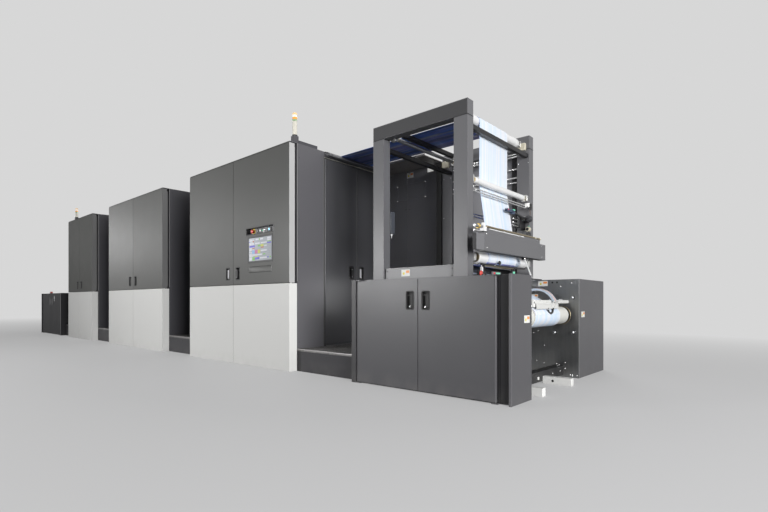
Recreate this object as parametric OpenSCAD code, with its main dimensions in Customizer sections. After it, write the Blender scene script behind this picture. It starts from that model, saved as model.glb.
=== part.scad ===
// Production inkjet press: an unwinder, three press modules joined by grated
// walkways, and a rewinder with a portal frame for the overhead paper web.
// x runs from the unwinder to the rewinder, y from the operator side to the
// drive side and z up from the floor. The origin is on the floor, in the
// middle of the machine. Millimetres.

/* [Modules] */
// Height of the module housings
module_h = 2400; // [2000:10:2900]
// Depth from the front face to the back face
machine_d = 2300; // [2100:10:2900]
// Length of the first module
module_1_w = 1460; // [1100:10:2000]
// Length of the second module
module_2_w = 2150; // [1600:10:2700]
// Length of the third module
module_3_w = 2160; // [1800:10:2700]
// Height at which the pale lower panels end
split_h = 922; // [700:1:1110]
// Depth of the fixed lower panels
cover_t = 100; // [90:1:150]
// Thickness of a front door's outer skin
door_t = 70; // [50:1:84]
// Gap around each moving leaf
leaf_gap = 6; // [5.5:0.5:8]
// Gap beside the hinged edge of cabinet and end doors
hinge_gap = 9; // [8.5:0.5:12]

/* [Walkways] */
// Length of the gap between unwinder and first module
walk_0_w = 540; // [500:10:900]
// Length of the walkway after the first module
walk_1_w = 870; // [760:10:1200]
// Length of the walkway after the second module
walk_2_w = 850; // [800:10:1200]
// Length of the walkway after the third module
walk_3_w = 920; // [760:10:1300]
// Height of the walkway surface
deck_h = 235; // [150:1:320]
// Thickness of the walkway grating
grating_t = 25; // [10:1:40]
// Set-back of the step risers from the front face
riser_back = 100; // [5:5:120]
// Depth of the rear wall behind the walkways
rear_wall_d = 700; // [500:10:800]
// Drop of the rear wall's top below the housings
rear_wall_drop = 40; // [0:5:300]

/* [Module end] */
// Thickness of an end door leaf
end_leaf_t = 32; // [24:1:40]
// Width of both end doors together
end_doors_w = 1062; // [800:2:1200]
// Distance from the front face to the end doors
end_doors_y = 480; // [300:1:600]
// Height of the roof tray
tray_h = 55; // [20:1:100]
// Depth of the roof tray
tray_d = 255; // [100:5:400]

/* [Winding stands] */
// Length of an unwinder or rewinder stand
stand_w = 1560; // [1400:10:2000]
// Height of the front cabinet of a stand
cabinet_h = 922; // [860:1:1100]
// Depth of the front cabinet
cabinet_d = 330; // [240:5:400]
// Height of the rear cabinet
rear_cabinet_h = 943; // [860:1:1100]
// Thickness of a cabinet door
cabinet_leaf_t = 30; // [24:1:40]
// Width of the stile beside the cabinet doors
stile_w = 52; // [30:1:120]
// Width of the recessed band at the outer end
band_w = 88; // [40:1:140]
// Thickness of the outer end cover of a cabinet
end_cover_t = 18; // [10:1:30]
// Thickness of the bare inner side plates
side_plate_t = 12; // [8:1:20]
// Size of the floor beam between the cabinets
floor_beam = 90; // [60:5:140]
// Height of the base rails
rail_h = 65; // [40:1:100]
// Width of a base rail
rail_w = 60; // [40:1:90]
// How far the base rails reach past the stand
rail_reach = 20; // [0:5:120]

/* [Portal frame] */
// Height of the portal above the housings
portal_rise = 25; // [20:5:200]
// Overall width of the portal
portal_w = 1064; // [900:2:1300]
// Width of a portal post
post_w = 135; // [100:1:180]
// Depth of a portal post
post_d = 92; // [60:1:140]
// Height of the portal's top beams
beam_h = 131; // [110:1:180]
// Distance from the front cabinet's back to the front posts
portal_gap = 50; // [5:5:150]
// Height of the low beam between the front posts
sill_h = 123; // [60:1:200]
// Size of the square cross bars
bar_s = 40; // [20:1:50]

// Width of the splice cover's end plate
splice_end_w = 129; // [60:1:180]
// Depth of the splice cover's end plate
splice_end_t = 35; // [20:1:50]

/* [Web and rollers] */
// Width of the paper web
web_w = 530; // [400:5:640]
// Distance from the front face to the near edge of the web
web_y = 690; // [640:5:760]
// Thickness of the web solid
web_t = 2; // [1:0.5:4]
// Running gap between web and rollers
web_gap = 0.4; // [0.3:0.05:1]
// Radius of the exit roller
exit_r = 25; // [18:1:30]
// Radius of the top roller
top_r = 44; // [30:1:54]
// Radius of the idler roller
idler_r = 28; // [20:1:36]
// Place of the idler roller on the way up from the drum (0) to the top roller (1)
idler_place = 0.5445; // [0.4:0.0005:0.65]
// Radius of the drum roller
drum_r = 50; // [40:1:66]
// Height of the drum roller
drum_z = 1110; // [1080:5:1200]
// Radius of the lead roller
lead_r = 20; // [12:1:25]
// Radius of the fixed turn bar
turn_r = 30; // [20:1:40]
// Radius of the roller journals
journal_r = 12; // [8:1:16]

/* [Paper rolls] */
// Radius of the rewound roll
roll_r = 95; // [88:1:150]
// Radius of the supply roll
supply_r = 200; // [120:1:215]
// Radius of the chucks in the paper rolls
chuck_r = 82; // [50:1:82]
// Radius of the roll shafts
shaft_r = 40; // [25:1:45]
// Height of the roll shafts
shaft_h = 600; // [450:5:640]

/* [Controls] */
// Width of the touch screen
screen_w = 475; // [300:1:560]
// Height of the touch screen
screen_h = 292; // [200:1:340]
// Thickness of the touch screen
screen_t = 24; // [12:1:30]
// Width of the control strip
strip_w = 528; // [340:1:600]
// Height of the control strip
strip_h = 71; // [60:1:80]
// Width of a door handle recess
handle_w = 70; // [50:1:90]
// Height of a door handle recess
handle_h = 140; // [90:1:170]
// Radius of a signal tower's tube
tower_r = 26; // [15:1:28]
// Height of a signal tower above the roof
tower_h = 350; // [150:5:500]
// Height of the first module's signal tower above the roof
tower_1_h = 295; // [150:5:500]
// Side of a signal tower's base
tower_s = 60; // [58:1:90]

/* [Hidden] */

$fn = 48;
eps = 1;                       // overshoot of a cut past a face
near = 2;                      // gap between fixed pieces that only stand side by side

// Places along the machine
line_l = 2 * stand_w + walk_0_w + module_1_w + walk_1_w + module_2_w + walk_2_w + module_3_w + walk_3_w;
module_1_x = -line_l / 2 + stand_w + walk_0_w;
module_2_x = module_1_x + module_1_w + walk_1_w;
module_3_x = module_2_x + module_2_w + walk_2_w;
end_x = module_3_x + module_3_w;
rewinder_x = end_x + walk_3_w;
stand_x1 = rewinder_x + stand_w;
module_starts = [module_1_x, module_2_x, module_3_x];
module_widths = [module_1_w, module_2_w, module_3_w];

// Places across the machine
front_y = -machine_d / 2;
back_y = machine_d / 2;
housing_y = front_y + cover_t;
rear_wall_y = back_y - rear_wall_d;
side_plate_y = rear_wall_y - side_plate_t - 30;
rear_cabinet_y = side_plate_y + side_plate_t;
cabinet_back_y = front_y + cabinet_d;
portal_front_y = cabinet_back_y + portal_gap;
bay_y = portal_front_y + post_d;         // back faces of the front posts
portal_rear_y = rear_cabinet_y;
web_y0 = front_y + web_y;
web_y1 = web_y0 + web_w;

// Doors of the modules
tab_t = 8;                     // thickness of a pivot tab
tab_w = 90;                    // width of a pivot tab
cabinet_tab_w = 50;
pin_r = 8;                     // pivot pin
pin_gap = 0.3;                 // radial gap around a pin or journal
pin_h = 30;                    // reach of a pivot pin into the leaf
pivot_in = 20;                 // pivot from the outer edge of a front door
pivot_back = door_t / 2;       // pivot behind the front face
door_bottom = split_h + leaf_gap;
door_top = module_h - tab_t - leaf_gap;
seal_gap = 8;                  // seal frame to housing
seal_t = cover_t - door_t - seal_gap;
seal_inset = 26;
handle_d = 34;
handle_z = split_h + 138;
handle_in = [119, 95];         // middle of the recess from the free edge, left and right door

// Controls on the third module's right door
screen_x = module_3_x + module_3_w / 2 + 551;
screen_z = split_h + 395;
strip_x = screen_x - 8;
strip_z = screen_z + 209;
strip_t = 48;                  // depth of the control strip's recess
strip_plate_t = 12;
button_r = 20;
drawer_w = 442;
drawer_h = 70;
drawer_z = screen_z - 227;
groove_w = 4;
groove_d = 3;

// Module end
end_back_gap = 18;             // free space behind the end doors
end_t = end_leaf_t + end_back_gap;
end_leaf_r = end_leaf_t / 2;
end_y0 = front_y + end_doors_y;
end_y1 = end_y0 + end_doors_w;
end_split_y = end_y0 + end_doors_w * 0.49;
end_bottom = deck_h + leaf_gap;
end_handle_z = handle_z + 10;
end_handle_in = [95, 73];      // middle of the recess from the split, front and rear leaf
end_pivot_x = end_x - end_leaf_r;

// Winding stands
portal_x = rewinder_x - 83;
bay_x = portal_x - near * 2;
rear_cabinet_x1 = stand_x1 - 80;
shaft_x = stand_x1 - 220;
cabinet_handle_z = cabinet_h - 184;
cabinet_handle_in = [77, 75];
leaf_total = stand_w - stile_w - band_w - end_cover_t;
leaf_mid_x = rewinder_x + stile_w + leaf_total / 2;
cabinet_pivot_y = front_y + cabinet_leaf_t / 2;
beam_x1 = shaft_x - 10;
beam_z0 = 20;
rail_near_y = bay_y + near * 2;
rail_far_y = rail_near_y + 601;

// Portal
portal_h = module_h + portal_rise;
post_right_x = portal_x + portal_w - post_w;
beam_z = portal_h - beam_h;
block_s = 64;                  // bearing block
block_d = 34;
lug_t = 10;                    // plate that carries the exit roller
guide_r = 6;
rail_r = 8;

// Roller centres in the xz plane
web_z = module_h - 15;         // underside of the overhead run
exit_c = [end_x + 50, web_z - exit_r - web_gap];
top_c = [post_right_x + 24, web_z - top_r - web_gap];
idler_z = drum_z + idler_place * (top_c[1] - drum_z);
idler_c = [post_right_x + 94, idler_z];
drum_c = [post_right_x + 114, drum_z];
turn_c = [top_c[0] - 115, drum_z - drum_r - turn_r];
roll_c = [shaft_x, shaft_h];
lead_c = [portal_x + 178, portal_h - 112];
end_top = exit_c[1] - exit_r - 4;      // top of the opening for the end doors
end_leaf_z0 = end_bottom + leaf_gap;
end_leaf_z1 = end_top - leaf_gap;

// ---------- shared shapes ----------

// a box between two corners
module block(a, b) {
    translate(a) cube(b - a);
}

// cylinders along y, x and z
module rod_y(c, y0, y1, r) {
    translate([c[0], y0, c[1]]) rotate([-90, 0, 0]) cylinder(r = r, h = y1 - y0);
}

module rod_x(x0, x1, y, z, r) {
    translate([x0, y, z]) rotate([0, 90, 0]) cylinder(r = r, h = x1 - x0);
}

module rod_z(x, y, z0, z1, r) {
    translate([x, y, z0]) cylinder(r = r, h = z1 - z0);
}

// the same piece on the rewinder and, mirrored, on the unwinder
module both_stands() {
    children();
    mirror([1, 0, 0]) children();
}

// bores for the two pivot pins of a leaf
module pivot_bores(x, y, z0, z1) {
    rod_z(x, y, z0 - eps, z0 + pin_h + leaf_gap, pin_r + pin_gap);
    rod_z(x, y, z1 - pin_h - leaf_gap, z1 + eps, pin_r + pin_gap);
}

// pivot pins that stand in those bores, from the faces below and above the leaf
module pivot_pins(x, y, low, z0, z1, high) {
    rod_z(x, y, low - eps, z0 + pin_h, pin_r);
    rod_z(x, y, z1 - pin_h, high + eps, pin_r);
}

// ---------- press modules ----------

// side is -1 for the left half of module i and 1 for its right half
function half_outer(i, side) = module_starts[i] + (side < 0 ? 0 : module_widths[i]);
function half_inner(i, side) = module_starts[i] + (module_widths[i] + side * leaf_gap) / 2;
function half_x0(i, side) = min(half_outer(i, side), half_inner(i, side));
function half_x1(i, side) = max(half_outer(i, side), half_inner(i, side));
function pivot_x(i, side) = half_outer(i, side) - side * pivot_in;

module front_door(i, side) color([0.25, 0.25, 0.24]) {
    x0 = half_x0(i, side);
    x1 = half_x1(i, side);
    grip = half_inner(i, side) + side * handle_in[side < 0 ? 0 : 1];
    difference() {
        union() {
            block([x0, front_y, door_bottom], [x1, front_y + door_t, door_top]);
            block([x0 + seal_inset, front_y + door_t, door_bottom + seal_inset],
                  [x1 - seal_inset, front_y + door_t + seal_t, door_top - seal_inset]);
        }
        pivot_bores(pivot_x(i, side), front_y + pivot_back, door_bottom, door_top);
        block([grip - handle_w / 2, front_y - eps, handle_z - handle_h / 2],
              [grip + handle_w / 2, front_y + handle_d, handle_z + handle_h / 2]);
        if (i == 2 && side > 0) {
            door_pocket(screen_x, screen_z, screen_w, screen_h, screen_t);
            door_pocket(strip_x, strip_z, strip_w, strip_h, strip_t);
            difference() {
                door_pocket(screen_x, drawer_z, drawer_w, drawer_h, groove_d);
                door_pocket(screen_x, drawer_z, drawer_w - 2 * groove_w, drawer_h - 2 * groove_w, groove_d + eps);
            }
        }
    }
}

// a pocket in the front face, by its centre, width, height and depth
module door_pocket(x, z, w, h, d) {
    block([x - w / 2, front_y - eps, z - h / 2], [x + w / 2, front_y + d, z + h / 2]);
}

module housing(i) color([0.2, 0.2, 0.21]) {
    last = i == 2;
    x1 = module_starts[i] + module_widths[i] - (last ? end_t : 0);
    block([module_starts[i], housing_y, 0], [x1, -housing_y, module_h]);
    if (last) {
        tray_y = housing_y + tower_s + near * 4;
        block([module_3_x, tray_y, module_h - eps], [x1, tray_y + tray_d, module_h + tray_h]);
    }
    for (side = [-1, 1]) {
        edge = half_outer(i, side);
        block([min(edge, edge - side * tab_w), front_y + leaf_gap, module_h - tab_t],
              [max(edge, edge - side * tab_w), housing_y + eps, module_h]);
        rod_z(pivot_x(i, side), front_y + pivot_back, door_top - pin_h, module_h - tab_t + eps, pin_r);
    }
}

module lower_panels() color("whitesmoke") {
    for (i = [0:2], side = [-1, 1]) {
        x0 = half_x0(i, side);
        x1 = half_x1(i, side);
        block([x0, front_y, 0], [x1, housing_y, split_h]);
        block([x0, -housing_y, 0], [x1, back_y, split_h]);
        rod_z(pivot_x(i, side), front_y + pivot_back, split_h - eps, door_bottom + pin_h, pin_r);
    }
}

module rear_upper_panels() color([0.25, 0.25, 0.24]) {
    for (i = [0:2], side = [-1, 1])
        block([half_x0(i, side), -housing_y, door_bottom], [half_x1(i, side), back_y, module_h]);
}

// ---------- controls ----------

module touch_screen() color("lightsteelblue")
    block([screen_x - screen_w / 2, front_y + near, screen_z - screen_h / 2],
          [screen_x + screen_w / 2, front_y + screen_t, screen_z + screen_h / 2]);

// plate at the back of its recess, with a mushroom button, small buttons and a knob
module control_strip() color([0.12, 0.12, 0.13]) {
    plate_y = front_y + strip_t - strip_plate_t;
    left = strip_x - strip_w / 2;
    stop_c = [left + 0.17 * strip_w, strip_z];
    block([left, plate_y, strip_z - strip_h / 2], [left + strip_w, front_y + strip_t, strip_z + strip_h / 2]);
    rod_y(stop_c, front_y + 8, plate_y + eps, button_r * 0.6);
    rod_y(stop_c, front_y + eps, front_y + 15, button_r);
    for (k = [0:3]) rod_y([left + (0.36 + 0.085 * k) * strip_w, strip_z], plate_y - 6, plate_y + eps, button_r * 0.45);
    block([left + 0.70 * strip_w, plate_y - 6, strip_z - 16], [left + 0.78 * strip_w, plate_y + eps, strip_z + 16]);
    rod_y([left + 0.91 * strip_w, strip_z], plate_y - 10, plate_y + eps, button_r * 0.75);
}

// ---------- end of the third module ----------

// side is -1 for the leaf nearer the front and 1 for the other
function end_pivot_y(side) = (side < 0 ? end_y0 : end_y1) - side * (hinge_gap + end_leaf_r);

module end_panels() color([0.32, 0.32, 0.34]) {
    difference() {
        block([end_x - end_t, housing_y + near, 0], [end_x, -housing_y, module_h]);
        block([end_x - end_t - eps, end_y0, end_bottom], [end_x + eps, end_y1, end_top]);
    }
    for (side = [-1, 1]) pivot_pins(end_pivot_x, end_pivot_y(side), end_bottom, end_leaf_z0, end_leaf_z1, end_top);
}

module end_door(side) color([0.2, 0.2, 0.22]) {
    y_pin = end_pivot_y(side);
    y_in = end_split_y + side * leaf_gap / 2;
    grip = end_split_y + side * end_handle_in[side < 0 ? 0 : 1];
    difference() {
        union() {
            block([end_x - end_leaf_t, min(y_pin, y_in), end_leaf_z0], [end_x, max(y_pin, y_in), end_leaf_z1]);
            rod_z(end_pivot_x, y_pin, end_leaf_z0, end_leaf_z1, end_leaf_r);
        }
        pivot_bores(end_pivot_x, y_pin, end_leaf_z0, end_leaf_z1);
        block([end_x - end_leaf_t * 0.75, grip - handle_w / 2, end_handle_z - handle_h / 2],
              [end_x + eps, grip + handle_w / 2, end_handle_z + handle_h / 2]);
    }
}

// ---------- roof ----------

module signal_tower(x, h) {
    y = housing_y + tower_s / 2 + near * 2;
    block([x - tower_s / 2, y - tower_s / 2, module_h], [x + tower_s / 2, y + tower_s / 2, module_h + tray_h + 45]);
    rod_z(x, y, module_h, module_h + h, tower_r);
}

module signal_towers() color("ivory") {
    signal_tower(module_1_x + tower_s, tower_1_h);
    signal_tower(end_x - end_t - tower_s / 2, tower_h);
}

// ---------- walkways ----------

// each walkway's start, end and back edge
walk_spans = [
    [module_1_x - walk_0_w, module_1_x, side_plate_y],
    [module_2_x - walk_1_w, module_2_x, rear_wall_y],
    [module_3_x - walk_2_w, module_3_x, rear_wall_y],
    [end_x, bay_x, rear_wall_y]
];

module walkway_slab(z0, z1, y0) {
    for (span = walk_spans) block([span[0], y0, z0], [span[1], span[2], z1]);
    block([bay_x - eps, y0, z0], [rewinder_x, cabinet_back_y, z1]);
}

module walkway_steps() color([0.2, 0.2, 0.21]) walkway_slab(0, deck_h - grating_t, front_y + riser_back);

module walkway_gratings() color("silver") walkway_slab(deck_h - grating_t, deck_h, front_y + riser_back - 4);

module rear_walls() color([0.13, 0.13, 0.14]) {
    for (k = [1:3]) block([walk_spans[k][0], rear_wall_y, 0], [walk_spans[k][1], back_y, module_h - rear_wall_drop]);
    block([-portal_x, side_plate_y, 0], [module_1_x, back_y, rear_cabinet_h]);
}

// ---------- winding stands ----------

leaf_z0 = tab_t + leaf_gap;
leaf_z1 = cabinet_h - tab_t - leaf_gap;
function leaf_edge_x(side) = leaf_mid_x + side * leaf_total / 2;
function leaf_pivot_x(side) = leaf_edge_x(side) - side * (hinge_gap + cabinet_leaf_t / 2);

// front cabinet of the rewinder: carcass, stile, end cover and the pivot tabs
module stand_cabinet() color([0.3, 0.3, 0.32]) {
    carcass_y = front_y + cabinet_leaf_t + 2 * leaf_gap;
    block([rewinder_x, carcass_y, 0], [stand_x1 - end_cover_t, cabinet_back_y, cabinet_h]);
    block([rewinder_x, front_y, 0], [rewinder_x + stile_w, carcass_y + eps, cabinet_h]);
    block([stand_x1 - end_cover_t, front_y, 0], [stand_x1, cabinet_back_y, cabinet_h]);
    for (side = [-1, 1]) {
        edge = leaf_edge_x(side);
        for (z = [0, cabinet_h - tab_t])
            block([min(edge, edge - side * cabinet_tab_w), front_y + near * 2, z],
                  [max(edge, edge - side * cabinet_tab_w), carcass_y + eps, z + tab_t]);
        pivot_pins(leaf_pivot_x(side), cabinet_pivot_y, tab_t, leaf_z0, leaf_z1, cabinet_h - tab_t);
    }
}

module cabinet_door(side) color([0.3, 0.3, 0.32]) {
    px = leaf_pivot_x(side);
    inner = leaf_mid_x + side * leaf_gap / 2;
    grip = inner + side * cabinet_handle_in[side < 0 ? 0 : 1];
    difference() {
        union() {
            block([min(px, inner), front_y, leaf_z0], [max(px, inner), front_y + cabinet_leaf_t, leaf_z1]);
            rod_z(px, cabinet_pivot_y, leaf_z0, leaf_z1, cabinet_leaf_t / 2);
        }
        pivot_bores(px, cabinet_pivot_y, leaf_z0, leaf_z1);
        block([grip - handle_w / 2, front_y - eps, cabinet_handle_z - handle_h / 2],
              [grip + handle_w / 2, front_y + cabinet_leaf_t * 0.7, cabinet_handle_z + handle_h / 2]);
    }
}

module rear_cabinets() color([0.25, 0.25, 0.26]) both_stands()
    block([portal_x, rear_cabinet_y, 0], [rear_cabinet_x1, back_y, rear_cabinet_h]);

module side_plates() color("gray") both_stands() difference() {
    block([portal_x, side_plate_y, 0], [rear_cabinet_x1, rear_cabinet_y, rear_cabinet_h]);
    rod_y(roll_c, side_plate_y - eps, rear_cabinet_y + eps, shaft_r + pin_gap);
}

module floor_beams() color([0.1, 0.1, 0.1]) both_stands()
    block([beam_x1 - floor_beam, cabinet_back_y, beam_z0], [beam_x1, side_plate_y, beam_z0 + floor_beam]);

module base_rails() color("white") both_stands()
    for (y = [rail_near_y, rail_far_y]) block([beam_x1, y, 0], [stand_x1 + rail_reach, y + rail_w, rail_h]);

// ---------- portal ----------

module portal_posts() color([0.38, 0.38, 0.4]) {
    spacer_z0 = 100;
    spacer_z1 = cabinet_h - 120;
    for (x = [portal_x, post_right_x]) {
        block([x, portal_front_y, 0], [x + post_w, bay_y, beam_z]);
        block([x, portal_rear_y, rear_cabinet_h], [x + post_w, portal_rear_y + post_d, beam_z]);
        // spacer that holds the front post to the back of the cabinet
        block([max(x, rewinder_x), cabinet_back_y, spacer_z0], [x + post_w, portal_front_y + eps, spacer_z1]);
    }
}

module portal_beams() color([0.38, 0.38, 0.4])
    for (y = [portal_front_y, portal_rear_y])
        block([portal_x, y, beam_z], [portal_x + portal_w, y + post_d, portal_h]);

module portal_sill() color([0.35, 0.35, 0.37])
    block([portal_x + post_w, portal_front_y + 20, cabinet_h], [post_right_x, bay_y, cabinet_h + sill_h]);

// bars between the front and rear frames, the turn bar, and the duct up the rear wall
module cross_bars() color([0.08, 0.08, 0.09]) {
    half = [bar_s / 2, 0, bar_s / 2];
    for (c = [[portal_x + 258, portal_h - 90], [portal_x + post_w - 22, portal_h - 220], [post_right_x + 101, portal_h - 205]])
        block([c[0], bay_y, c[1]] - half, [c[0], portal_rear_y, c[1]] + half);
    rod_y(turn_c, bay_y, side_plate_y, turn_r);
    block([bay_x - bar_s, rear_wall_y - bar_s, deck_h], [bay_x, rear_wall_y, module_h - rear_wall_drop - 10]);
}

// ---------- rollers ----------

// roller body with journals that end in the bearing blocks
module roller(c, r, y0, y1, shoulder) {
    rod_y(c, y0 + shoulder, y1 - shoulder, r);
    rod_y(c, y0 + pin_gap, y1 - pin_gap, journal_r);
}

module portal_roller(c, r) roller(c, r, bay_y, portal_rear_y, 70);

module exit_roller() color("gainsboro") roller(exit_c, exit_r, end_y0, web_y1 + 120, lug_t + 6);
module lead_roller() color("gainsboro") portal_roller(lead_c, lead_r);
module top_roller() color("gainsboro") portal_roller(top_c, top_r);
module idler_roller() color("white") portal_roller(idler_c, idler_r);
module drum_roller() color("gainsboro") portal_roller(drum_c, drum_r);

module bearing_block(c, y0) difference() {
    half = [block_s / 2, 0, block_s / 2];
    block([c[0], y0, c[1]] - half, [c[0], y0 + block_d, c[1]] + half);
    rod_y(c, y0 - eps, y0 + block_d + eps, journal_r + pin_gap);
}

module roller_blocks() color("lightgray") {
    for (c = [lead_c, top_c, idler_c, drum_c], y = [bay_y, portal_rear_y - block_d]) bearing_block(c, y);
    // lugs on the end panel carry the exit roller
    for (y = [end_y0, web_y1 + 120 - lug_t]) difference() {
        block([end_x, y, exit_c[1] - exit_r], [exit_c[0] + exit_r, y + lug_t, exit_c[1] + exit_r]);
        rod_y(exit_c, y - eps, y + lug_t + eps, journal_r + pin_gap);
    }
}

// thin rods along y before and behind the web, and rails along x on the rear frame
module guide_rods() color("silver") {
    for (drop = [80, 102]) rod_y([idler_c[0] + 20, idler_z - drop], bay_y, portal_rear_y, guide_r);
    for (drop = [280, 302]) rod_y([idler_c[0] - 45, idler_z - drop], bay_y, portal_rear_y, guide_r);
    for (drop = [157, 185, 315, 405, 455])
        rod_x(portal_x + post_w, post_right_x, portal_rear_y + 20, portal_h - drop, rail_r);
}

// ---------- splice cover and sensors ----------

module splice_cover() color([0.36, 0.36, 0.38]) {
    cover_x = post_right_x + post_w + 49;
    cover_w = 70;
    cover_y0 = bay_y - 22;
    cover_y1 = portal_rear_y + post_d + 23;
    cover_z = drum_z + 40;
    box_h = 155;
    top_h = 40;
    block([cover_x, cover_y0, cover_z], [cover_x + cover_w, cover_y1, cover_z + box_h]);
    block([cover_x + near, cover_y0 + 48, cover_z + box_h - eps],
          [cover_x + cover_w - near, cover_y1 - 130, cover_z + box_h + top_h]);
    // thin end plate that reaches past the front post
    block([cover_x + cover_w - splice_end_t, cover_y0 - splice_end_w, cover_z], [cover_x + cover_w, cover_y0 + eps, cover_z + box_h - 20]);
    // brackets to the posts
    for (y = [bay_y - 54, portal_rear_y + 2 * near])
        block([post_right_x + post_w, y, cover_z + 40], [cover_x + eps, y + 50, cover_z + 120]);
}

module sensor_units() color([0.15, 0.15, 0.17]) {
    x = idler_c[0] + 26;
    block([x, web_y1 - 40, idler_z - 218], [x + 24, portal_rear_y, idler_z - 194]);
    block([x - 26, portal_rear_y - 80, idler_z - 350], [x + 40, portal_rear_y, idler_z - 260]);
    block([portal_x + post_w - 20, bay_y, idler_z - 390], [portal_x + post_w + 46, bay_y + 60, idler_z - 170]);
}

// ---------- rewound and supply rolls ----------

module rewind_roll() color("aliceblue") difference() {
    rod_y(roll_c, web_y0, web_y1, roll_r - web_t);
    rod_y(roll_c, web_y0 - eps, web_y1 + eps, chuck_r);
}

module winding_shaft() {
    rod_y(roll_c, web_y0 - 60, side_plate_y - 25, chuck_r);
    rod_y(roll_c, cabinet_back_y + pin_gap, rear_cabinet_y - pin_gap, shaft_r);
}

module rewind_core() color("gainsboro") winding_shaft();

module supply_roll() color("aliceblue") mirror([1, 0, 0]) {
    rod_y(roll_c, web_y0, web_y1, supply_r);
    winding_shaft();
}

rider_z = shaft_h + roll_r + 17;
rider_x = shaft_x + 5;
rider_w = 38;
plate_x = rider_x + rider_w + 46;      // outer face of the hanging plate
plate_t = 6;

// fixed beam over the roll, with a hanging plate along its outer side
module rider_beam() color("silver") {
    block([rider_x, cabinet_back_y, rider_z], [rider_x + rider_w, side_plate_y, rider_z + 30]);
    block([rider_x + rider_w - eps, web_y0 + 30, rider_z], [plate_x, web_y1 - 30, rider_z + plate_t]);
    block([plate_x - plate_t, web_y0 + 30, rider_z - 46], [plate_x, web_y1 - 30, rider_z + eps]);
}

guard_c = [shaft_x - 100, rider_z - 52];
guard_r = 190;
guard_w = 60;
guard_t = 12;
guard_reach = 85;                      // how far the arc runs back past its top

// clear arc that stands on the hanging plate and reaches back over the web
module roll_guard() color([0.8, 0.9, 1, 0.4]) {
    y0 = web_y1 - 30 - guard_w;
    cut_y = [y0 - 2 * eps, y0 + guard_w + 2 * eps];
    difference() {
        rod_y(guard_c, y0, y0 + guard_w, guard_r);
        rod_y(guard_c, y0 - eps, y0 + guard_w + eps, guard_r - guard_t);
        // below its foot on the plate, and past its reach
        block([guard_c[0] - 2 * guard_r, cut_y[0], guard_c[1] - 2 * guard_r],
              [guard_c[0] + 2 * guard_r, cut_y[1], rider_z + plate_t]);
        block([guard_c[0] - 2 * guard_r, cut_y[0], rider_z], [guard_c[0] - guard_reach, cut_y[1], guard_c[1] + 2 * guard_r]);
    }
}

// ---------- paper web ----------

// Wheels that the web passes, in order: centre, radius, and 1 where the centre
// is on the right-hand side of the running web or -1 on the left.
wheels = [
    [exit_c, exit_r, 1], [top_c, top_r, 1], [idler_c, idler_r, -1],
    [drum_c, drum_r, 1], [turn_c, turn_r, -1], [roll_c, roll_r - web_t, 1]
];
web_last = len(wheels) - 1;
web_step = 6;                  // degrees between points on a wrap
web_end_dir = -80;             // direction of the web where it ends on the roll

// radius at which the middle of the web runs, signed by the wrap side
function run_r(k) = wheels[k][2] * (wheels[k][1] + web_gap + web_t / 2);

// direction of the straight run between wheel k and wheel k + 1
function run_dir(k) =
    let (v = wheels[k + 1][0] - wheels[k][0])
    atan2(v[1], v[0]) + asin((run_r(k + 1) - run_r(k)) / norm(v));

// turn of the web around wheel k, brought to the sign of its wrap side
function turn_of(k, d_in, d_out) =
    let (raw = (d_out - d_in) % 360, s = wheels[k][2])
    s > 0 ? (raw > 0 ? raw - 360 : raw) : (raw < 0 ? raw + 360 : raw);

// points of one wrap, moved by t away from the centre line of the web
function wrap(k, d_in, d_out, t) =
    let (turn = turn_of(k, d_in, d_out), n = max(1, ceil(abs(turn) / web_step)))
    [for (j = [0:n]) let (d = d_in + turn * j / n) wheels[k][0] - (run_r(k) - t) * [sin(d), -cos(d)]];

function web_side(t) = concat(
    [[end_x + pin_gap, exit_c[1] + run_r(0) - t]],
    wrap(0, 0, run_dir(0), t),
    [for (k = [1:web_last - 1], p = wrap(k, run_dir(k - 1), run_dir(k), t)) p],
    wrap(web_last, run_dir(web_last - 1), web_end_dir, t)
);

function reversed(v) = [for (k = [len(v) - 1:-1:0]) v[k]];

module paper_web() color("lightblue") {
    translate([0, web_y1, 0]) rotate([90, 0, 0]) linear_extrude(web_w)
        polygon(concat(web_side(-web_t / 2), reversed(web_side(web_t / 2))));
    for (k = [1, 2]) block([walk_spans[k][0], web_y0, web_z], [walk_spans[k][1], web_y1, web_z + web_t]);
    supply_top = shaft_h + supply_r;
    block([-shaft_x, web_y0, supply_top], [module_1_x, web_y1, supply_top + web_t]);
}

// ---------- nodes ----------

module unwinder_cabinet() mirror([1, 0, 0]) stand_cabinet();
module unwinder_door_left() mirror([1, 0, 0]) cabinet_door(1);
module unwinder_door_right() mirror([1, 0, 0]) cabinet_door(-1);

unwinder_cabinet();
unwinder_door_left();
unwinder_door_right();
supply_roll();
housing(0);  // housing_1
housing(1);  // housing_2
housing(2);  // housing_3
lower_panels();
rear_upper_panels();
front_door(0, -1);  // front_door_1_left
front_door(0, 1);  // front_door_1_right
front_door(1, -1);  // front_door_2_left
front_door(1, 1);  // front_door_2_right
front_door(2, -1);  // front_door_3_left
front_door(2, 1);  // front_door_3_right
touch_screen();
control_strip();
end_panels();
end_door(-1);  // end_door_front
end_door(1);  // end_door_rear
signal_towers();
walkway_steps();
walkway_gratings();
rear_walls();
stand_cabinet();  // rewinder_cabinet
cabinet_door(-1);  // rewinder_door_left
cabinet_door(1);  // rewinder_door_right
rear_cabinets();
side_plates();
floor_beams();
base_rails();
portal_posts();
portal_beams();
portal_sill();
cross_bars();
exit_roller();
lead_roller();
top_roller();
idler_roller();
drum_roller();
roller_blocks();
guide_rods();
splice_cover();
sensor_units();
rewind_roll();
rewind_core();
rider_beam();
roll_guard();
paper_web();
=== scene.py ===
import math

import bmesh
import bpy
from bpy.props import FloatProperty, FloatVectorProperty, IntProperty, PointerProperty
from mathutils import Matrix, Vector


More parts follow.
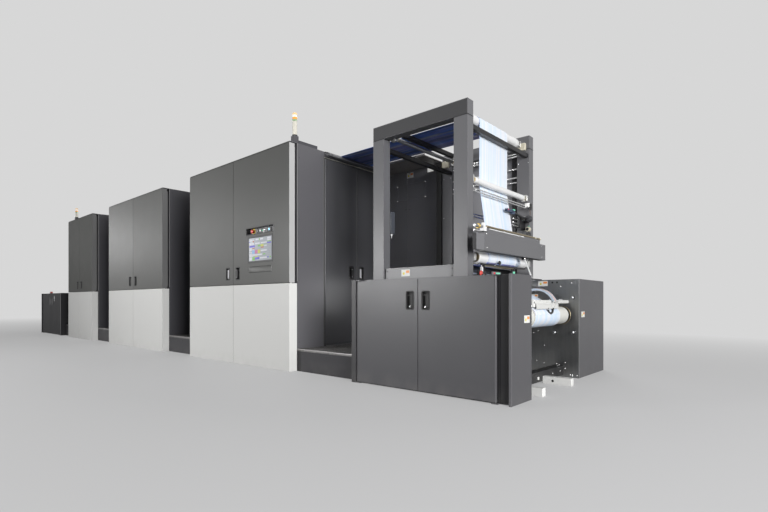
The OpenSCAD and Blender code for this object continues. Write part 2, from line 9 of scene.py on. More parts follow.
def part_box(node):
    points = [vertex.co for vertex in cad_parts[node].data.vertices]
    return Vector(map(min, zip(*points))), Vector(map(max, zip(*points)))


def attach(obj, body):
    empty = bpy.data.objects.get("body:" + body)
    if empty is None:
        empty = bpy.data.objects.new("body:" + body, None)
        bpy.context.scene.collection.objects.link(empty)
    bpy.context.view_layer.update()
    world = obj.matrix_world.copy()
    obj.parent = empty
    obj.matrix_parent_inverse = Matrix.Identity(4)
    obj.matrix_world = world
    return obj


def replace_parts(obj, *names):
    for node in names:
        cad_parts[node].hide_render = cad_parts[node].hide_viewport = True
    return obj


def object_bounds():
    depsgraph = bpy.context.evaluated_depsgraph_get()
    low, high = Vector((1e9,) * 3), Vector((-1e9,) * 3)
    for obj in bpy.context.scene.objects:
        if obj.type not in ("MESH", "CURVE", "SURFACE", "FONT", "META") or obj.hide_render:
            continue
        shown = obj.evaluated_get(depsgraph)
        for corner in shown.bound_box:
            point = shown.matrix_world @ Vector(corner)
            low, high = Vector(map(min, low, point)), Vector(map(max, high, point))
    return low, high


bl_info = {
    "name": "Production Inkjet Press",
    "version": (1, 0, 0),
    "blender": (4, 5, 0),
    "location": "3D View > Sidebar > Press",
    "description": "Finishes, fittings and studio stage for a production inkjet press",
    "category": "Object",
}

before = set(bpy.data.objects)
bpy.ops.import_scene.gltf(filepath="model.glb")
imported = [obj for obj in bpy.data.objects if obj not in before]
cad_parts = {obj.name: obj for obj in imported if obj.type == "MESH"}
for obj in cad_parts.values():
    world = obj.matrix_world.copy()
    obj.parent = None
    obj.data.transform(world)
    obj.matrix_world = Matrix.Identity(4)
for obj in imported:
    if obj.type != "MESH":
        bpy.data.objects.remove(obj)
CAD_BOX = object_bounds()
MODULES = (1, 2, 3)
SIDES = ("left", "right")
DOOR_LINE = (-1.0475, -1.042)         # the bright line beside the front doors, along y

# start and end of each walkway along x
STEP_ENDS = tuple((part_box(start)[1].x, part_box(end)[0].x) for start, end in (
    ("unwinder_cabinet", "housing_1"), ("housing_1", "housing_2"), ("housing_2", "housing_3"),
    ("end_panels", "rewinder_cabinet")))


# ---------------------------------------------------------------- settings

def paint(name, description, default):
    return FloatVectorProperty(name=name, description=description, subtype="COLOR", min=0, max=1,
        default=default)


def length(name, description, default):
    return FloatProperty(name=name, description=description, default=default, min=0, unit="LENGTH")


def power(name, description, default):
    return FloatProperty(name=name, description=description, default=default, min=0)


class PressColours(bpy.types.PropertyGroup):
    """Paint and print colours, as linear values."""

    door: paint("Doors", "Upper doors of the modules", (0.07, 0.071, 0.067))
    panel: paint("Lower panels", "Pale panels below the doors", (0.62, 0.62, 0.605))
    # side faces of the doors: partly a pale edge profile, partly painted light from the side
    edge: paint("Door edges", "Side faces of the upper doors", (0.52, 0.52, 0.52))
    cabinet: paint("Cabinets", "Cabinets of the winding stands", (0.074, 0.073, 0.079))
    portal: paint("Portal", "Posts and beams of the portal", (0.13, 0.13, 0.137))
    pillar: paint("End pillar", "End wall of the third module", (0.118, 0.116, 0.125))
    leaf: paint("End doors", "Recessed doors of the end wall", (0.062, 0.062, 0.067))
    housing: paint("Housings", "Module housings", (0.07, 0.069, 0.077))
    rear_wall: paint("Rear walls", "Walls behind the walkways", (0.205, 0.205, 0.218))
    step: paint("Steps", "Risers of the walkways", (0.044, 0.043, 0.047))
    print_outer: paint("Outer print", "Pale stripes on the outer side of the web", (0.6, 0.74, 0.92))
    print_inner: paint("Inner print", "Deep stripes on the inner side of the web", (0.03, 0.06, 0.18))


class PressSizes(bpy.types.PropertyGroup):
    """Sizes of the small fittings."""

    screw: length("Screw radius", "Radius of a cover screw's head", 0.0065)
    bolt: length("Bolt radius", "Radius of a side plate bolt's head", 0.0115)
    grate_pitch: length("Grate pitch", "Distance between the bars of a grating", 0.034)
    grate_bar: length("Grate bar", "Thickness of a grating bar", 0.004)
    bezel: length("Bezel", "Width of the rim round a door handle", 0.007)
    sticker: length("Sticker", "Height of a small sticker", 0.055)
    turned: IntProperty(name="Sides", description="Sides of a turned fitting", default=24, min=12, max=64)


class PressStage(bpy.types.PropertyGroup):
    """The lamps, the floor and the room."""

    key: power("Key lamp", "Power of the low lamp before the press", 350)
    far: power("Far lamp", "Power of the distant lamp that the doors mirror", 150)
    near: power("Near lamp", "Power of the lamp that the third module mirrors", 49)
    bay: power("Bay lamp", "Power of the small lamp over the last walkway", 2.5)
    side: power("Side lamp", "Power of the lamp beside the rewinder", 820)
    top: power("Top lamp", "Power of the lamp over the rewinder", 40)
    back: power("Back lamp", "Power of the lamp behind the press", 420)
    ambient: power("Ambient", "Strength of the room's even light", 0.11)
    room: power("Room", "Brightness of the room as it is seen", 0.68)
    floor: paint("Floor", "Colour of the floor", (0.46, 0.46, 0.47))


def colours():
    return bpy.context.scene.press_colours


def sizes():
    return bpy.context.scene.press_sizes


# ---------------------------------------------------------------- shader maths

class Value:
    """A node socket that takes part in shader maths with Python's own operators."""

    def __init__(self, finish, socket):
        self.finish, self.socket = finish, socket

    def join(self, operation, first, second):
        """A Vector Math node where either side is a vector, otherwise a Math node."""
        vector = any(isinstance(side, Value) and side.socket.type == "VECTOR" for side in (first, second))
        return self.finish.node("VectorMath" if vector else "Math", {"operation": operation},
            {0: first, 1: second})

    def __add__(self, other):
        return self.join("ADD", self, other)

    def __radd__(self, other):
        return self.join("ADD", other, self)

    def __sub__(self, other):
        return self.join("SUBTRACT", self, other)

    def __rsub__(self, other):
        return self.join("SUBTRACT", other, self)

    def __mul__(self, other):
        return self.join("MULTIPLY", self, other)

    def __rmul__(self, other):
        return self.join("MULTIPLY", other, self)

    def __gt__(self, other):
        return self.join("GREATER_THAN", self, other)

    def __lt__(self, other):
        return self.join("LESS_THAN", self, other)


class NodeMaker:
    """Adds nodes to one node tree, which it clears first."""

    def __init__(self, tree):
        self.tree = tree
        self.tree.nodes.clear()

    def node(self, kind, settings=None, inputs=None, output=0):
        """Adds a shader node, sets it, feeds its sockets, and gives back one of its outputs."""
        made = self.tree.nodes.new("ShaderNode" + kind)
        for key, value in (settings or {}).items():
            if key == "stops":
                self.fill_ramp(made.color_ramp, value)
            else:
                setattr(made, key, value)
        for key, value in (inputs or {}).items():
            socket = made.inputs[key]
            if isinstance(value, Value):
                self.tree.links.new(value.socket, socket)
            else:
                socket.default_value = (*value, 1) if socket.type == "RGBA" and len(value) == 3 else value
        return Value(self, made.outputs[output]) if made.outputs else None

    @staticmethod
    def fill_ramp(ramp, stops):
        while len(ramp.elements) < len(stops):
            ramp.elements.new(1)
        for element, (place, colour) in zip(ramp.elements, stops):
            element.position, element.color = place, (*colour, 1)


class Finish(NodeMaker):
    """One node material."""

    def __init__(self, name):
        self.material = bpy.data.materials.new(name)
        self.material.use_nodes = True
        super().__init__(self.material.node_tree)

    def place(self, stretch=(1, 1, 1)):
        """The point on the piece, in metres, stretched along each axis."""
        return self.node("TexCoord", output="Object") * stretch

    def part(self, vector, axis):
        return self.node("SeparateXYZ", inputs={0: vector}, output=axis)

    def noise(self, scale, detail=2, stretch=(1, 1, 1), twist=0):
        return self.node("TexNoise", inputs={
            "Vector": self.place(stretch), "Scale": scale, "Detail": detail, "Distortion": twist})

    def spread(self, value, low, high):
        """value brought from the range low to high to 0 to 1, and held there."""
        return self.node("MapRange", {"clamp": True}, {0: value, 1: low, 2: high})

    def mix(self, first, second, share):
        """Two colours mixed by share."""
        return self.node("Mix", {"data_type": "RGBA"}, {0: share, 6: first, 7: second}, output=2)

    def rounded(self, radius):
        """The normal of the surface with its edges rounded off."""
        return self.node("Bevel", {"samples": 4}, {"Radius": radius})

    def bump(self, height, distance, normal=None):
        inputs = {"Height": height, "Distance": distance}
        return self.node("Bump", inputs={**inputs, "Normal": normal} if normal else inputs)

    def surface(self, **inputs):
        """Ends the material in a Principled shader. A socket is named with _ for each space."""
        shader = self.node("BsdfPrincipled", inputs={key.replace("_", " "): value for key,
            value in inputs.items()})
        self.node("OutputMaterial", inputs={"Surface": shader})
        return self.material


# ---------------------------------------------------------------- finishes

FINISHES = {}

# the colours of the blocks on the screen
SHOWN = (("ui_white", "shown_white", (0.58, 0.59, 0.64)),
         ("ui_grey", "shown_grey", (0.18, 0.19, 0.21)),
         ("ui_blue", "shown_violet", (0.13, 0.11, 0.54)),
         ("ui_green", "shown_green", (0.19, 0.42, 0.11)),
         ("ui_yellow", "shown_yellow", (0.48, 0.5, 0.1)),
         ("ui_sky", "shown_blue", (0.22, 0.38, 0.61)),
         ("ui_pink", "shown_pink", (0.48, 0.16, 0.3)),
         ("ui_red", "shown_red", (0.42, 0.13, 0.08)))


def shade(colour, by):
    return tuple(min(1.0, channel * by) for channel in colour)


def painted(name, colour, roughness=0.42, cloud=0.07, grain=0.05, wear_and_edge_highlight=1.35, coat=0.0, flank_colour_and_light=None,
        gloss=0.35):
    """Powder paint: fine grain, slow tone changes, edges a little paler from wear and painted highlight,
    painted light and shade on the sides along x, and dust at the foot.
    """
    f = Finish(name)
    slow = f.noise(0.9, 3)
    fine = f.noise(420, 2)
    tone = f.mix(shade(colour, 1 - cloud), shade(colour, 1 + cloud), slow)
    tone = f.mix(tone, shade(colour, 1 + 4 * grain), (fine > 0.62) * grain * 6)
    # sides facing along x take their own colour, which carries painted light and shade
    if flank_colour_and_light:
        sideways = f.part(f.node("TexCoord", output="Normal"), 0)
        tone = f.mix(tone, flank_colour_and_light, (sideways * sideways) > 0.5)
    # edges paler: partly rubbed wear, partly a painted highlight along them
    rounded = f.rounded(0.0025)
    flat = f.node("NewGeometry", output="True Normal")
    turn = 1 - f.node("VectorMath", {"operation": "DOT_PRODUCT"}, {0: rounded, 1: flat}, output="Value")
    scuffs = f.noise(26, 3)
    tone = f.mix(tone, shade(colour, wear_and_edge_highlight), f.spread(turn, 0.0, 0.25) * f.spread(scuffs, 0.35, 0.7) * 0.8)
    height = f.part(f.place(), 2)
    dust = (1 - f.spread(height, 0.0, 0.14)) * f.spread(f.noise(7, 4), 0.35, 0.75)
    tone = f.mix(tone, (0.3, 0.29, 0.27), dust * 0.16)
    texture = f.noise(900, 2) * 0.6 + f.noise(160, 2) * 0.4
    return f.surface(Base_Color=tone, Roughness=f.noise(5, 3) * 0.08 + (roughness - 0.04) + dust * 0.15,
        Normal=f.bump(texture, 0.00035, rounded), Coat_Weight=coat, Coat_Roughness=0.12,
        Specular_IOR_Level=gloss)


def metal(name, colour, roughness=0.3, stretch=(1, 1, 1), scale=60, streak=0.18, tint=None):
    """Bare metal with brush or turning marks, finest across the stretched axis."""
    f = Finish(name)
    marks = f.noise(scale, 4, stretch)
    blotch = f.noise(4.5, 3, twist=0.6)
    tone = f.mix(shade(colour, 1 - streak), shade(colour, 1 + streak), marks)
    tone = f.mix(tone, tint or shade(colour, 0.8), f.spread(blotch, 0.42, 0.72) * 0.55)
    rough = marks * 0.16 + f.spread(blotch, 0.3, 0.8) * 0.1 + (roughness - 0.1)
    return f.surface(Base_Color=tone, Metallic=1.0, Roughness=rough, Normal=f.bump(marks, 0.00015,
        f.rounded(0.0015)))


def galvanised(name):
    """Zinc coat with its crystal pattern."""
    f = Finish(name)
    cell = f.node("TexVoronoi", inputs={"Vector": f.place(), "Scale": 70}, output="Color")
    grey = f.node("RGBToBW", inputs={0: cell})
    tone = f.mix((0.07, 0.068, 0.066), (0.22, 0.215, 0.21), grey)
    return f.surface(Base_Color=tone, Metallic=0.6, Roughness=grey * 0.25 + 0.36, Normal=f.bump(grey, 0.0002,
        f.rounded(0.001)))


def plastic(name, colour, roughness=0.38, glow=0.0, coat=0.0):
    """Moulded plastic with a faint mould grain; glow lights it from inside."""
    f = Finish(name)
    mould = f.noise(700, 2)
    tone = f.mix(shade(colour, 0.93), shade(colour, 1.06), f.noise(30, 2))
    lit = {"Emission_Color": f.mix(shade(colour, 0.85), colour, mould),
        "Emission_Strength": glow} if glow else {}
    return f.surface(Base_Color=tone, Roughness=mould * 0.08 + (roughness - 0.04), Coat_Weight=coat,
        Coat_Roughness=0.08, Normal=f.bump(mould, 0.0001, f.rounded(0.001)), **lit)


def printed_paper(name, pale, deep):
    """Coated paper printed in long stripes: pale on the outer side, deep on the inner side."""
    f = Finish(name)
    band = f.noise(26, 2, stretch=(0.02, 1, 0.02))
    line = f.noise(95, 2, stretch=(0.015, 1, 0.015))
    soft = f.spread(band, 0.4, 0.64) * 0.75 + f.spread(line, 0.52, 0.7) * 0.35
    outer = f.mix((0.8, 0.82, 0.86), pale, soft)
    streak = f.noise(12, 3, stretch=(0.1, 1, 0.1))
    violet = f.noise(8, 3, stretch=(0.08, 1, 0.08), twist=0.3)
    inner = f.mix(shade(deep, 1.4), shade(deep, 4.2), f.spread(streak, 0.38, 0.6))
    inner = f.mix(inner, (0.27, 0.22, 0.42), f.spread(violet, 0.44, 0.6) * 0.8)
    inner = f.mix(inner, (0.5, 0.54, 0.66), f.spread(f.noise(18, 3, stretch=(0.09, 1, 0.09)), 0.54,
        0.66) * 0.8)
    facing = f.node("NewGeometry", output="True Normal")
    outward = (f.part(facing, 0) + f.part(facing, 2)) > 0.0
    fibre = f.noise(260, 3)
    return f.surface(Base_Color=f.mix(inner, outer, outward), Roughness=fibre * 0.1 + 0.42, Coat_Weight=0.15,
        Coat_Roughness=0.25, Normal=f.bump(fibre, 0.00006))


def wound_paper(name, pale, ends):
    """A wound roll: stripes round its side and fine rings on its ends."""
    f = Finish(name)
    band = f.noise(21, 2, stretch=(0.01, 1, 0.01))
    line = f.noise(80, 2, stretch=(0.01, 1, 0.01))
    side = f.mix((0.78, 0.81, 0.86), pale, f.spread(band, 0.38, 0.62) * 0.8 + f.spread(line, 0.5, 0.7) * 0.3)
    facing = f.node("NewGeometry", output="True Normal")
    across = f.part(facing, 1)
    end = (across * across) > 0.5
    wind = f.noise(240, 3, stretch=(1, 0.05, 1))
    return f.surface(Base_Color=f.mix(side, f.mix(shade(ends, 0.86), ends, wind), end),
        Roughness=wind * 0.15 + 0.45, Normal=f.bump(wind, 0.00012))


def drum_print(name, pale):
    """The drum's sleeve: bright metal that carries smeared grey and blue streaks."""
    f = Finish(name)
    streak = f.noise(34, 4, stretch=(1, 0.5, 1), twist=0.5)
    fine = f.noise(120, 3, stretch=(1, 0.25, 1))
    tone = f.mix((0.56, 0.6, 0.66), shade(pale, 0.75), f.spread(streak, 0.4, 0.62))
    tone = f.mix(tone, (0.3, 0.31, 0.34), f.spread(fine, 0.55, 0.7) * 0.6)
    return f.surface(Base_Color=tone, Metallic=f.spread(streak, 0.55, 0.7) * 0.7, Roughness=fine * 0.2 + 0.25,
        Normal=f.bump(fine, 0.0001))


def perforated(name, colour, pitch, hole):
    """A dark sheet with rows of round holes."""
    f = Finish(name)
    centre = f.node("TexVoronoi", {"feature": "F1"}, output="Distance", inputs={
        "Vector": f.place((1 / pitch, 0.001, 1 / pitch)), "Scale": 1.0, "Randomness": 0.0})
    # the holes are painted dark: painted shade of the hollow behind the sheet
    open_part = centre < hole / pitch
    tone = f.mix(shade(colour, 1.0), shade(colour, 0.18), open_part)
    return f.surface(Base_Color=tone, Metallic=0.5, Roughness=0.42 + open_part * 0.3,
        Normal=f.bump(1 - open_part, 0.0008))


def clear_sheet(name, colour, alpha):
    """Clear rigid plastic."""
    f = Finish(name)
    haze = f.noise(40, 3)
    return f.surface(Base_Color=f.mix(shade(colour, 0.95), colour, haze), Roughness=haze * 0.06 + 0.08,
        Alpha=alpha, IOR=1.49, Normal=f.bump(haze, 0.0001))


def glass_screen(name):
    """The lit face of the screen, with a faint grid of dots."""
    f = Finish(name)
    grid = f.node("TexChecker", inputs={"Vector": f.place(), "Scale": 900}, output="Fac")
    tone = f.mix((0.31, 0.335, 0.37), (0.34, 0.365, 0.4), grid)
    return f.surface(Base_Color=tone, Roughness=f.noise(12, 2) * 0.05 + 0.12, Emission_Color=tone,
        Emission_Strength=0.15, Coat_Weight=0.6, Coat_Roughness=0.03)


def make_finishes():
    c = colours()
    FINISHES.update({
        # door sides facing along x: on the third module's right door a pale edge partly painted light from the
        # side, on the first two modules a darker copy that is painted shade, and on the left doors a dark
        # colour that is painted shade in the seam
        "door": painted("door_grey", c.door, 0.34, flank_colour_and_light=c.edge),
        "door_seam_shade": painted("door_grey_inner", c.door, 0.34, flank_colour_and_light=shade(c.door, 0.35)),
        "door_satin": painted("door_grey_satin", c.door, 0.34, flank_colour_and_light=shade(c.edge, 0.36), gloss=0.22),
        "door_satin_seam_shade": painted("door_grey_satin_inner", c.door, 0.34, flank_colour_and_light=shade(c.door, 0.35),
            gloss=0.3),
        "door_matt": painted("door_grey_matt", c.door, 0.5, flank_colour_and_light=shade(c.edge, 0.36), gloss=0.05),
        "door_matt_seam_shade": painted("door_grey_matt_inner", c.door, 0.5, flank_colour_and_light=shade(c.door, 0.35),
            gloss=0.05),
        "rear_panel": painted("rear_panel_grey", c.door, 0.42),
        # the panels' sides are painted paler: painted light from the side
        "panel": painted("panel_white", c.panel, 0.4, cloud=0.02, grain=0.01, wear_and_edge_highlight=1.12, coat=0.1,
                         flank_colour_and_light=shade(c.panel, 1.3)),
        "edge": painted("edge_silver", c.edge, 0.36, cloud=0.03),
        "cabinet": painted("cabinet_grey", c.cabinet, 0.35),
        "portal": painted("portal_grey", c.portal, 0.35),
        "pillar": painted("pillar_grey", c.pillar, 0.42),
        "leaf": painted("end_door_dark", c.leaf, 0.34, wear_and_edge_highlight=1.8),
        "housing": painted("housing_dark", c.housing, 0.45, wear_and_edge_highlight=1.8),
        "rear_wall": painted("rear_wall_dark", c.rear_wall, 0.4, wear_and_edge_highlight=1.6),
        "step": painted("step_grey", c.step, 0.5, gloss=0.2),
        "black": painted("black_enamel", (0.012, 0.012, 0.013), 0.32, wear_and_edge_highlight=3.0),
        "white": painted("white_enamel", (0.86, 0.86, 0.84), 0.3, cloud=0.03, wear_and_edge_highlight=1.05, coat=0.2),
        "plate": metal("side_plate_steel", (0.275, 0.28, 0.285), 0.4, (1, 1, 0.04), 90, 0.14, tint=(0.3,
            0.295, 0.27)),
        "steel": metal("ground_steel", (0.72, 0.72, 0.72), 0.26, (0.1, 1, 0.1), 120, 0.12),
        "chrome": metal("bright_steel", (0.8, 0.8, 0.8), 0.16, streak=0.06),
        "aluminium": metal("machined_aluminium", (0.7, 0.7, 0.69), 0.34, (1, 0.1, 1), 100, 0.12),
        "brass": metal("brass", (0.66, 0.47, 0.16), 0.28, streak=0.12),
        "bronze": metal("bronze_bar", (0.36, 0.3, 0.2), 0.34, (1, 0.05, 1), 80, 0.16),
        "zinc": galvanised("galvanised_grating"),
        "roller_white": plastic("white_roller_sleeve", (0.8, 0.8, 0.8), 0.3, coat=0.3),
        "chuck": plastic("chuck_cream", (0.66, 0.66, 0.62), 0.42),
        "black_plastic": plastic("black_plastic", (0.014, 0.014, 0.015), 0.36),
        "grey_plastic": plastic("grey_plastic", (0.17, 0.17, 0.18), 0.36),
        "pale_plastic": plastic("pale_plastic", (0.52, 0.52, 0.54), 0.34, coat=0.2),
        "ivory": plastic("ivory_tube", (0.74, 0.71, 0.62), 0.26, coat=0.4),
        "amber": plastic("amber_lens", (0.9, 0.36, 0.06), 0.22, glow=0.35, coat=0.5),
        "red": plastic("red_plastic", (0.62, 0.045, 0.03), 0.28, coat=0.4),
        "yellow": plastic("yellow_plastic", (0.75, 0.52, 0.03), 0.34),
        "green_light": plastic("green_light", (0.14, 0.55, 0.36), 0.3, glow=0.35),
        "blue_light": plastic("blue_light", (0.16, 0.55, 0.9), 0.3, glow=0.9),
        "white_light": plastic("white_light", (0.85, 0.85, 0.82), 0.3, glow=0.4),
        "red_light": plastic("red_light", (0.6, 0.03, 0.05), 0.3, glow=0.3),
        "rubber": plastic("black_rubber", (0.01, 0.01, 0.01), 0.62),
        "web": printed_paper("printed_web", c.print_outer, c.print_inner),
        "roll": wound_paper("wound_paper", c.print_outer, (0.72, 0.71, 0.66)),
        "mesh": perforated("perforated_sheet", (0.52, 0.52, 0.54), 0.012, 0.0036),
        "clear": clear_sheet("clear_guard", (0.8, 0.84, 0.88), 0.5),
        "strip_grey": plastic("strip_grey", (0.26, 0.26, 0.27), 0.4),
        "dark_tube": metal("dark_tube", (0.24, 0.24, 0.25), 0.36, (1, 0.05, 1), 90, 0.14),
        # the unwinder's cabinets: a darker copy of the cabinet paint that is painted shade
        "cabinet_painted_shade": painted("far_cabinet_grey", shade(c.cabinet, 0.45), 0.55, wear_and_edge_highlight=1.6, gloss=0.08),
        "orange": plastic("orange_line", (0.85, 0.3, 0.1), 0.4),
        "sticker": plastic("sticker_white", (0.72, 0.72, 0.69), 0.45),
        "sticker_orange": plastic("sticker_orange", (0.8, 0.3, 0.08), 0.45),
        "sticker_yellow": plastic("sticker_yellow", (0.72, 0.62, 0.05), 0.45),
        "screen": glass_screen("lit_screen"),
        # a darker copy of the cabinet paint: painted shade in the set-back band and the hinge gap
        "band": painted("band_dark", shade(c.cabinet, 0.33), 0.5, gloss=0.15),
        "stile": painted("stile_grey", shade(c.cabinet, 0.42), 0.42),
        # a paler copy of the cabinet paint: painted highlight on the cover's folded edge
        "cover_edge": painted("cover_edge_grey", shade(c.cabinet, 1.35), 0.38),
        "seam": painted("seam_dark", (0.022, 0.022, 0.024), 0.5),
        "end_plate": painted("end_plate_grey", shade(c.portal, 1.25), 0.4),
        "silver_paint": painted("silver_paint", (0.66, 0.66, 0.64), 0.28, cloud=0.03, wear_and_edge_highlight=1.2),
        "cable": plastic("brown_cable", (0.085, 0.05, 0.035), 0.45),
        "drive_box": painted("drive_box_blue", (0.06, 0.066, 0.078), 0.45),
        "guard_arc": clear_sheet("guard_arc_sheet", (0.66, 0.74, 0.84), 0.62),
        "cabinet_dark": painted("cabinet_dark", shade(c.cabinet, 0.5), 0.45),
        "beam": painted("beam_dark", shade(c.portal, 0.34), 0.45),
        "tube": metal("light_tube", (0.42, 0.43, 0.44), 0.34, (1, 0.05, 1), 90, 0.14),
        "drum_print": drum_print("drum_print", c.print_outer),
        "cream_nut": plastic("cream_nut", (0.62, 0.58, 0.46), 0.4),
        "sensor_blue": plastic("sensor_blue", (0.03, 0.055, 0.11), 0.35),
        "motor": painted("motor_grey", (0.045, 0.045, 0.05), 0.45),
        "tower_base": painted("tower_base_grey", (0.085, 0.082, 0.09), 0.4),
        "green_band": plastic("green_lens", (0.34, 0.5, 0.28), 0.25, coat=0.4),
        "cap_amber": plastic("cap_lens", (0.88, 0.56, 0.26), 0.25, glow=0.3, coat=0.4),
        "nosing": metal("nosing_steel", (0.34, 0.33, 0.33), 0.34, (0.1, 1, 1), 120, 0.12),
        "line": painted("bright_line", (0.3, 0.3, 0.3), 0.35, cloud=0.02),
        "seal": plastic("grey_seal", (0.115, 0.115, 0.11), 0.45),
        "header": painted("header_cream", (0.42, 0.41, 0.37), 0.35, cloud=0.02),
        "ledge": painted("ledge_grey", (0.3, 0.285, 0.275), 0.45),
    })
    for key, name, colour in SHOWN:
        FINISHES[key] = plastic(name, colour, 0.2, glow=0.1)


# ---------------------------------------------------------------- faces and building pieces

FRONT = ((1, 0, 0), (0, 0, 1))
END = ((0, 1, 0), (0, 0, 1))
BACK = ((-1, 0, 0), (0, 0, 1))
FAR = ((0, -1, 0), (0, 0, 1))
TOP = ((1, 0, 0), (0, 1, 0))
OUT, NEAR, ALONG = (0, 0, 1), (0, -1, 0), (0, 1, 0)
LOCK = ((0, 0.014), (0.004, 0.014), (0.006, 0.011))
SMOOTH_BELOW = math.radians(28)
SHAFT = 0.0398                # radius of the winding shafts


def rounded_loop(width, height, radius, z, steps=4):
    """Points round a rectangle with rounded corners, at height z."""
    r = max(min(radius, width / 2 - 1e-5, height / 2 - 1e-5), 0.0003)
    return [(sx * (width / 2 - r) + r * math.cos(a), sy * (height / 2 - r) + r * math.sin(a), z)
            for sx, sy, first in ((1, 1, 0), (-1, 1, 90), (-1, -1, 180), (1, -1, 270))
            for a in (math.radians(first + 90 * k / steps) for k in range(steps + 1))]


def reach(start, sign, a, b):
    """The stretch from a to b beyond start, in the direction of sign."""
    return sorted((start + sign * a, start + sign * b))


def corners(across, up, level=0):
    """Every pair of two rows of places, at one level."""
    return [(u, v, level) for u in across for v in up]


def round_places(count, radius, y):
    """Places evenly round a shaft that runs along y."""
    return [(radius * math.cos(a), y, radius * math.sin(a)) for a in (2 * math.pi * k / count
        for k in range(count))]


class Piece:
    """Gathers the solids of one piece, each with its finish, then makes the object."""

    def __init__(self, name, body="root"):
        self.name, self.body = name, body
        self.mesh = bmesh.new()
        self.finishes = []
        self.slot = 0
        self.origin = Matrix.Identity(4)

    def use(self, finish):
        """The finish of the solids that follow."""
        if finish not in self.finishes:
            self.finishes.append(finish)
        self.slot = self.finishes.index(finish)
        return self

    def on(self, point, right, up):
        """What follows is placed from point, with x along right, y along up and z out of the face."""
        x, y = Vector(right), Vector(up)
        self.origin = Matrix((x, y, x.cross(y))).transposed().to_4x4()
        self.origin.translation = point
        return self

    def at(self, x=0, y=0, z=0):
        """What follows is placed from a point, along the axes of the press."""
        self.origin = Matrix.Translation((x, y, z))
        return self

    def corner(self, point):
        return self.mesh.verts.new(self.origin @ Vector(point))

    def face(self, points):
        made = self.mesh.faces.new(points)
        made.material_index = self.slot

    def block(self, low, high, soft=0):
        """A box. Where soft is given, its four long edges are cut off by that much."""
        if soft:
            size = [high[k] - low[k] for k in range(3)]
            long = max(range(3), key=lambda k: size[k])
            a, b = [k for k in range(3) if k != long]
            outline = [(soft, 0), (size[a] - soft, 0), (size[a], soft), (size[a], size[b] - soft),
                (size[a] - soft, size[b]), (soft, size[b]), (0, size[b] - soft), (0, soft)]
            loops = []
            for end in (low[long], high[long]):
                loops.append([Vector((0, 0, 0)) for _ in outline])
                for p, (u, v) in zip(loops[-1], outline):
                    p[long], p[a], p[b] = end, low[a] + u, low[b] + v
            return self.loft(loops)
        v = [self.corner((x, y, z)) for z in (low[2], high[2]) for y in (low[1], high[1]) for x in (low[0],
            high[0])]
        for quad in ((0, 1, 3, 2), (4, 5, 7, 6), (0, 1, 5, 4), (2, 3, 7, 6), (0, 2, 6, 4), (1, 3, 7, 5)):
            self.face([v[k] for k in quad])
        return self

    def blocks(self, *rows):
        """A block for each row, which gives its finish, its x, y and z from low to high, and its soft."""
        for finish, x, y, z, *soft in rows:
            self.use(finish).block((x[0], y[0], z[0]), (x[1], y[1], z[1]), *soft)
        return self

    def loft(self, loops, closed=False):
        """Skins between loops of points. The first and last loop are capped, or joined where closed."""
        rings = [[self.corner(p) for p in loop] for loop in loops]
        for a, b in zip(rings, rings[1:] + (rings[:1] if closed else [])):
            for k in range(len(a)):
                n = (k + 1) % len(a)
                self.face([a[k], a[n], b[n], b[k]])
        if not closed:
            self.face(rings[0])
            self.face(rings[-1])
        return self

    def stack(self, *loops, closed=False):
        """Skins between rounded rectangles: width, height, corner and level."""
        return self.loft([rounded_loop(*loop) for loop in loops], closed)

    def rim(self, wide, tall, *rows, closed=False):
        """Skins between rounded rectangles. A row is how much wider and taller it is, its corner and level."""
        return self.stack(*[(wide + more, tall + more, corner, level) for more, corner, level in rows],
            closed=closed)

    def pad(self, width, height, corner, levels, inset, inner):
        """A rounded plate from the first level to the last, whose top edge is cut off from the middle one."""
        low, shoulder, top = levels
        return self.stack((width, height, corner, low), (width, height, corner, shoulder),
            (width - 2 * inset, height - 2 * inset, inner, top))

    def turn(self, start, axis, profile, closed=False, sides=None):
        """Turns a profile of (distance along the axis, radius) pairs."""
        sides = sides or sizes().turned
        along = Vector(axis).normalized()
        across = along.orthogonal().normalized()
        other = along.cross(across)
        steps = [2 * math.pi * k / sides for k in range(sides)]
        return self.loft([[Vector(start) + along * far + (across * math.cos(a) + other * math.sin(a)) * radius
            for a in steps] for far, radius in profile], closed)

    def rod(self, start, end, radius, chamfer=None, sides=None):
        axis = Vector(end) - Vector(start)
        far = axis.length
        cut = min(radius * 0.2 if chamfer is None else chamfer, far / 3)
        return self.turn(start, axis, [(0, radius - cut), (cut, radius), (far - cut, radius),
            (far, radius - cut)], sides=sides)

    def ring(self, start, end, outer, inner, sides=None):
        axis = Vector(end) - Vector(start)
        far = axis.length
        cut = min((outer - inner) * 0.2, far / 4)
        return self.turn(start, axis, [(0, inner), (0, outer - cut), (cut, outer), (far - cut, outer),
            (far, outer - cut), (far, inner)], closed=True, sides=sides)

    def screw(self, place, axis, radius=None):
        """A pan head with its socket."""
        r = radius or sizes().screw
        return self.turn(place, axis, [(-0.2 * r, r), (0.35 * r, r), (0.62 * r, 0.72 * r),
            (0.66 * r, 0.42 * r), (0.25 * r, 0.4 * r)], sides=12)

    def screws(self, finish, places, axis, radius=None):
        for place in places:
            self.use(finish).screw(place, axis, radius)
        return self

    def tube(self, points, radius, sides=10):
        """A round bar bent along points."""
        path = [Vector(p) for p in points]
        turns = [2 * math.pi * k / sides for k in range(sides)]
        loops, side = [], None
        for k, p in enumerate(path):
            ahead = (path[min(k + 1, len(path) - 1)] - path[max(k - 1, 0)]).normalized()
            side = (ahead.orthogonal() if side is None else side - ahead * side.dot(ahead)).normalized()
            other = ahead.cross(side)
            loops.append([p + (side * math.cos(a) + other * math.sin(a)) * radius for a in turns])
        return self.loft(loops)

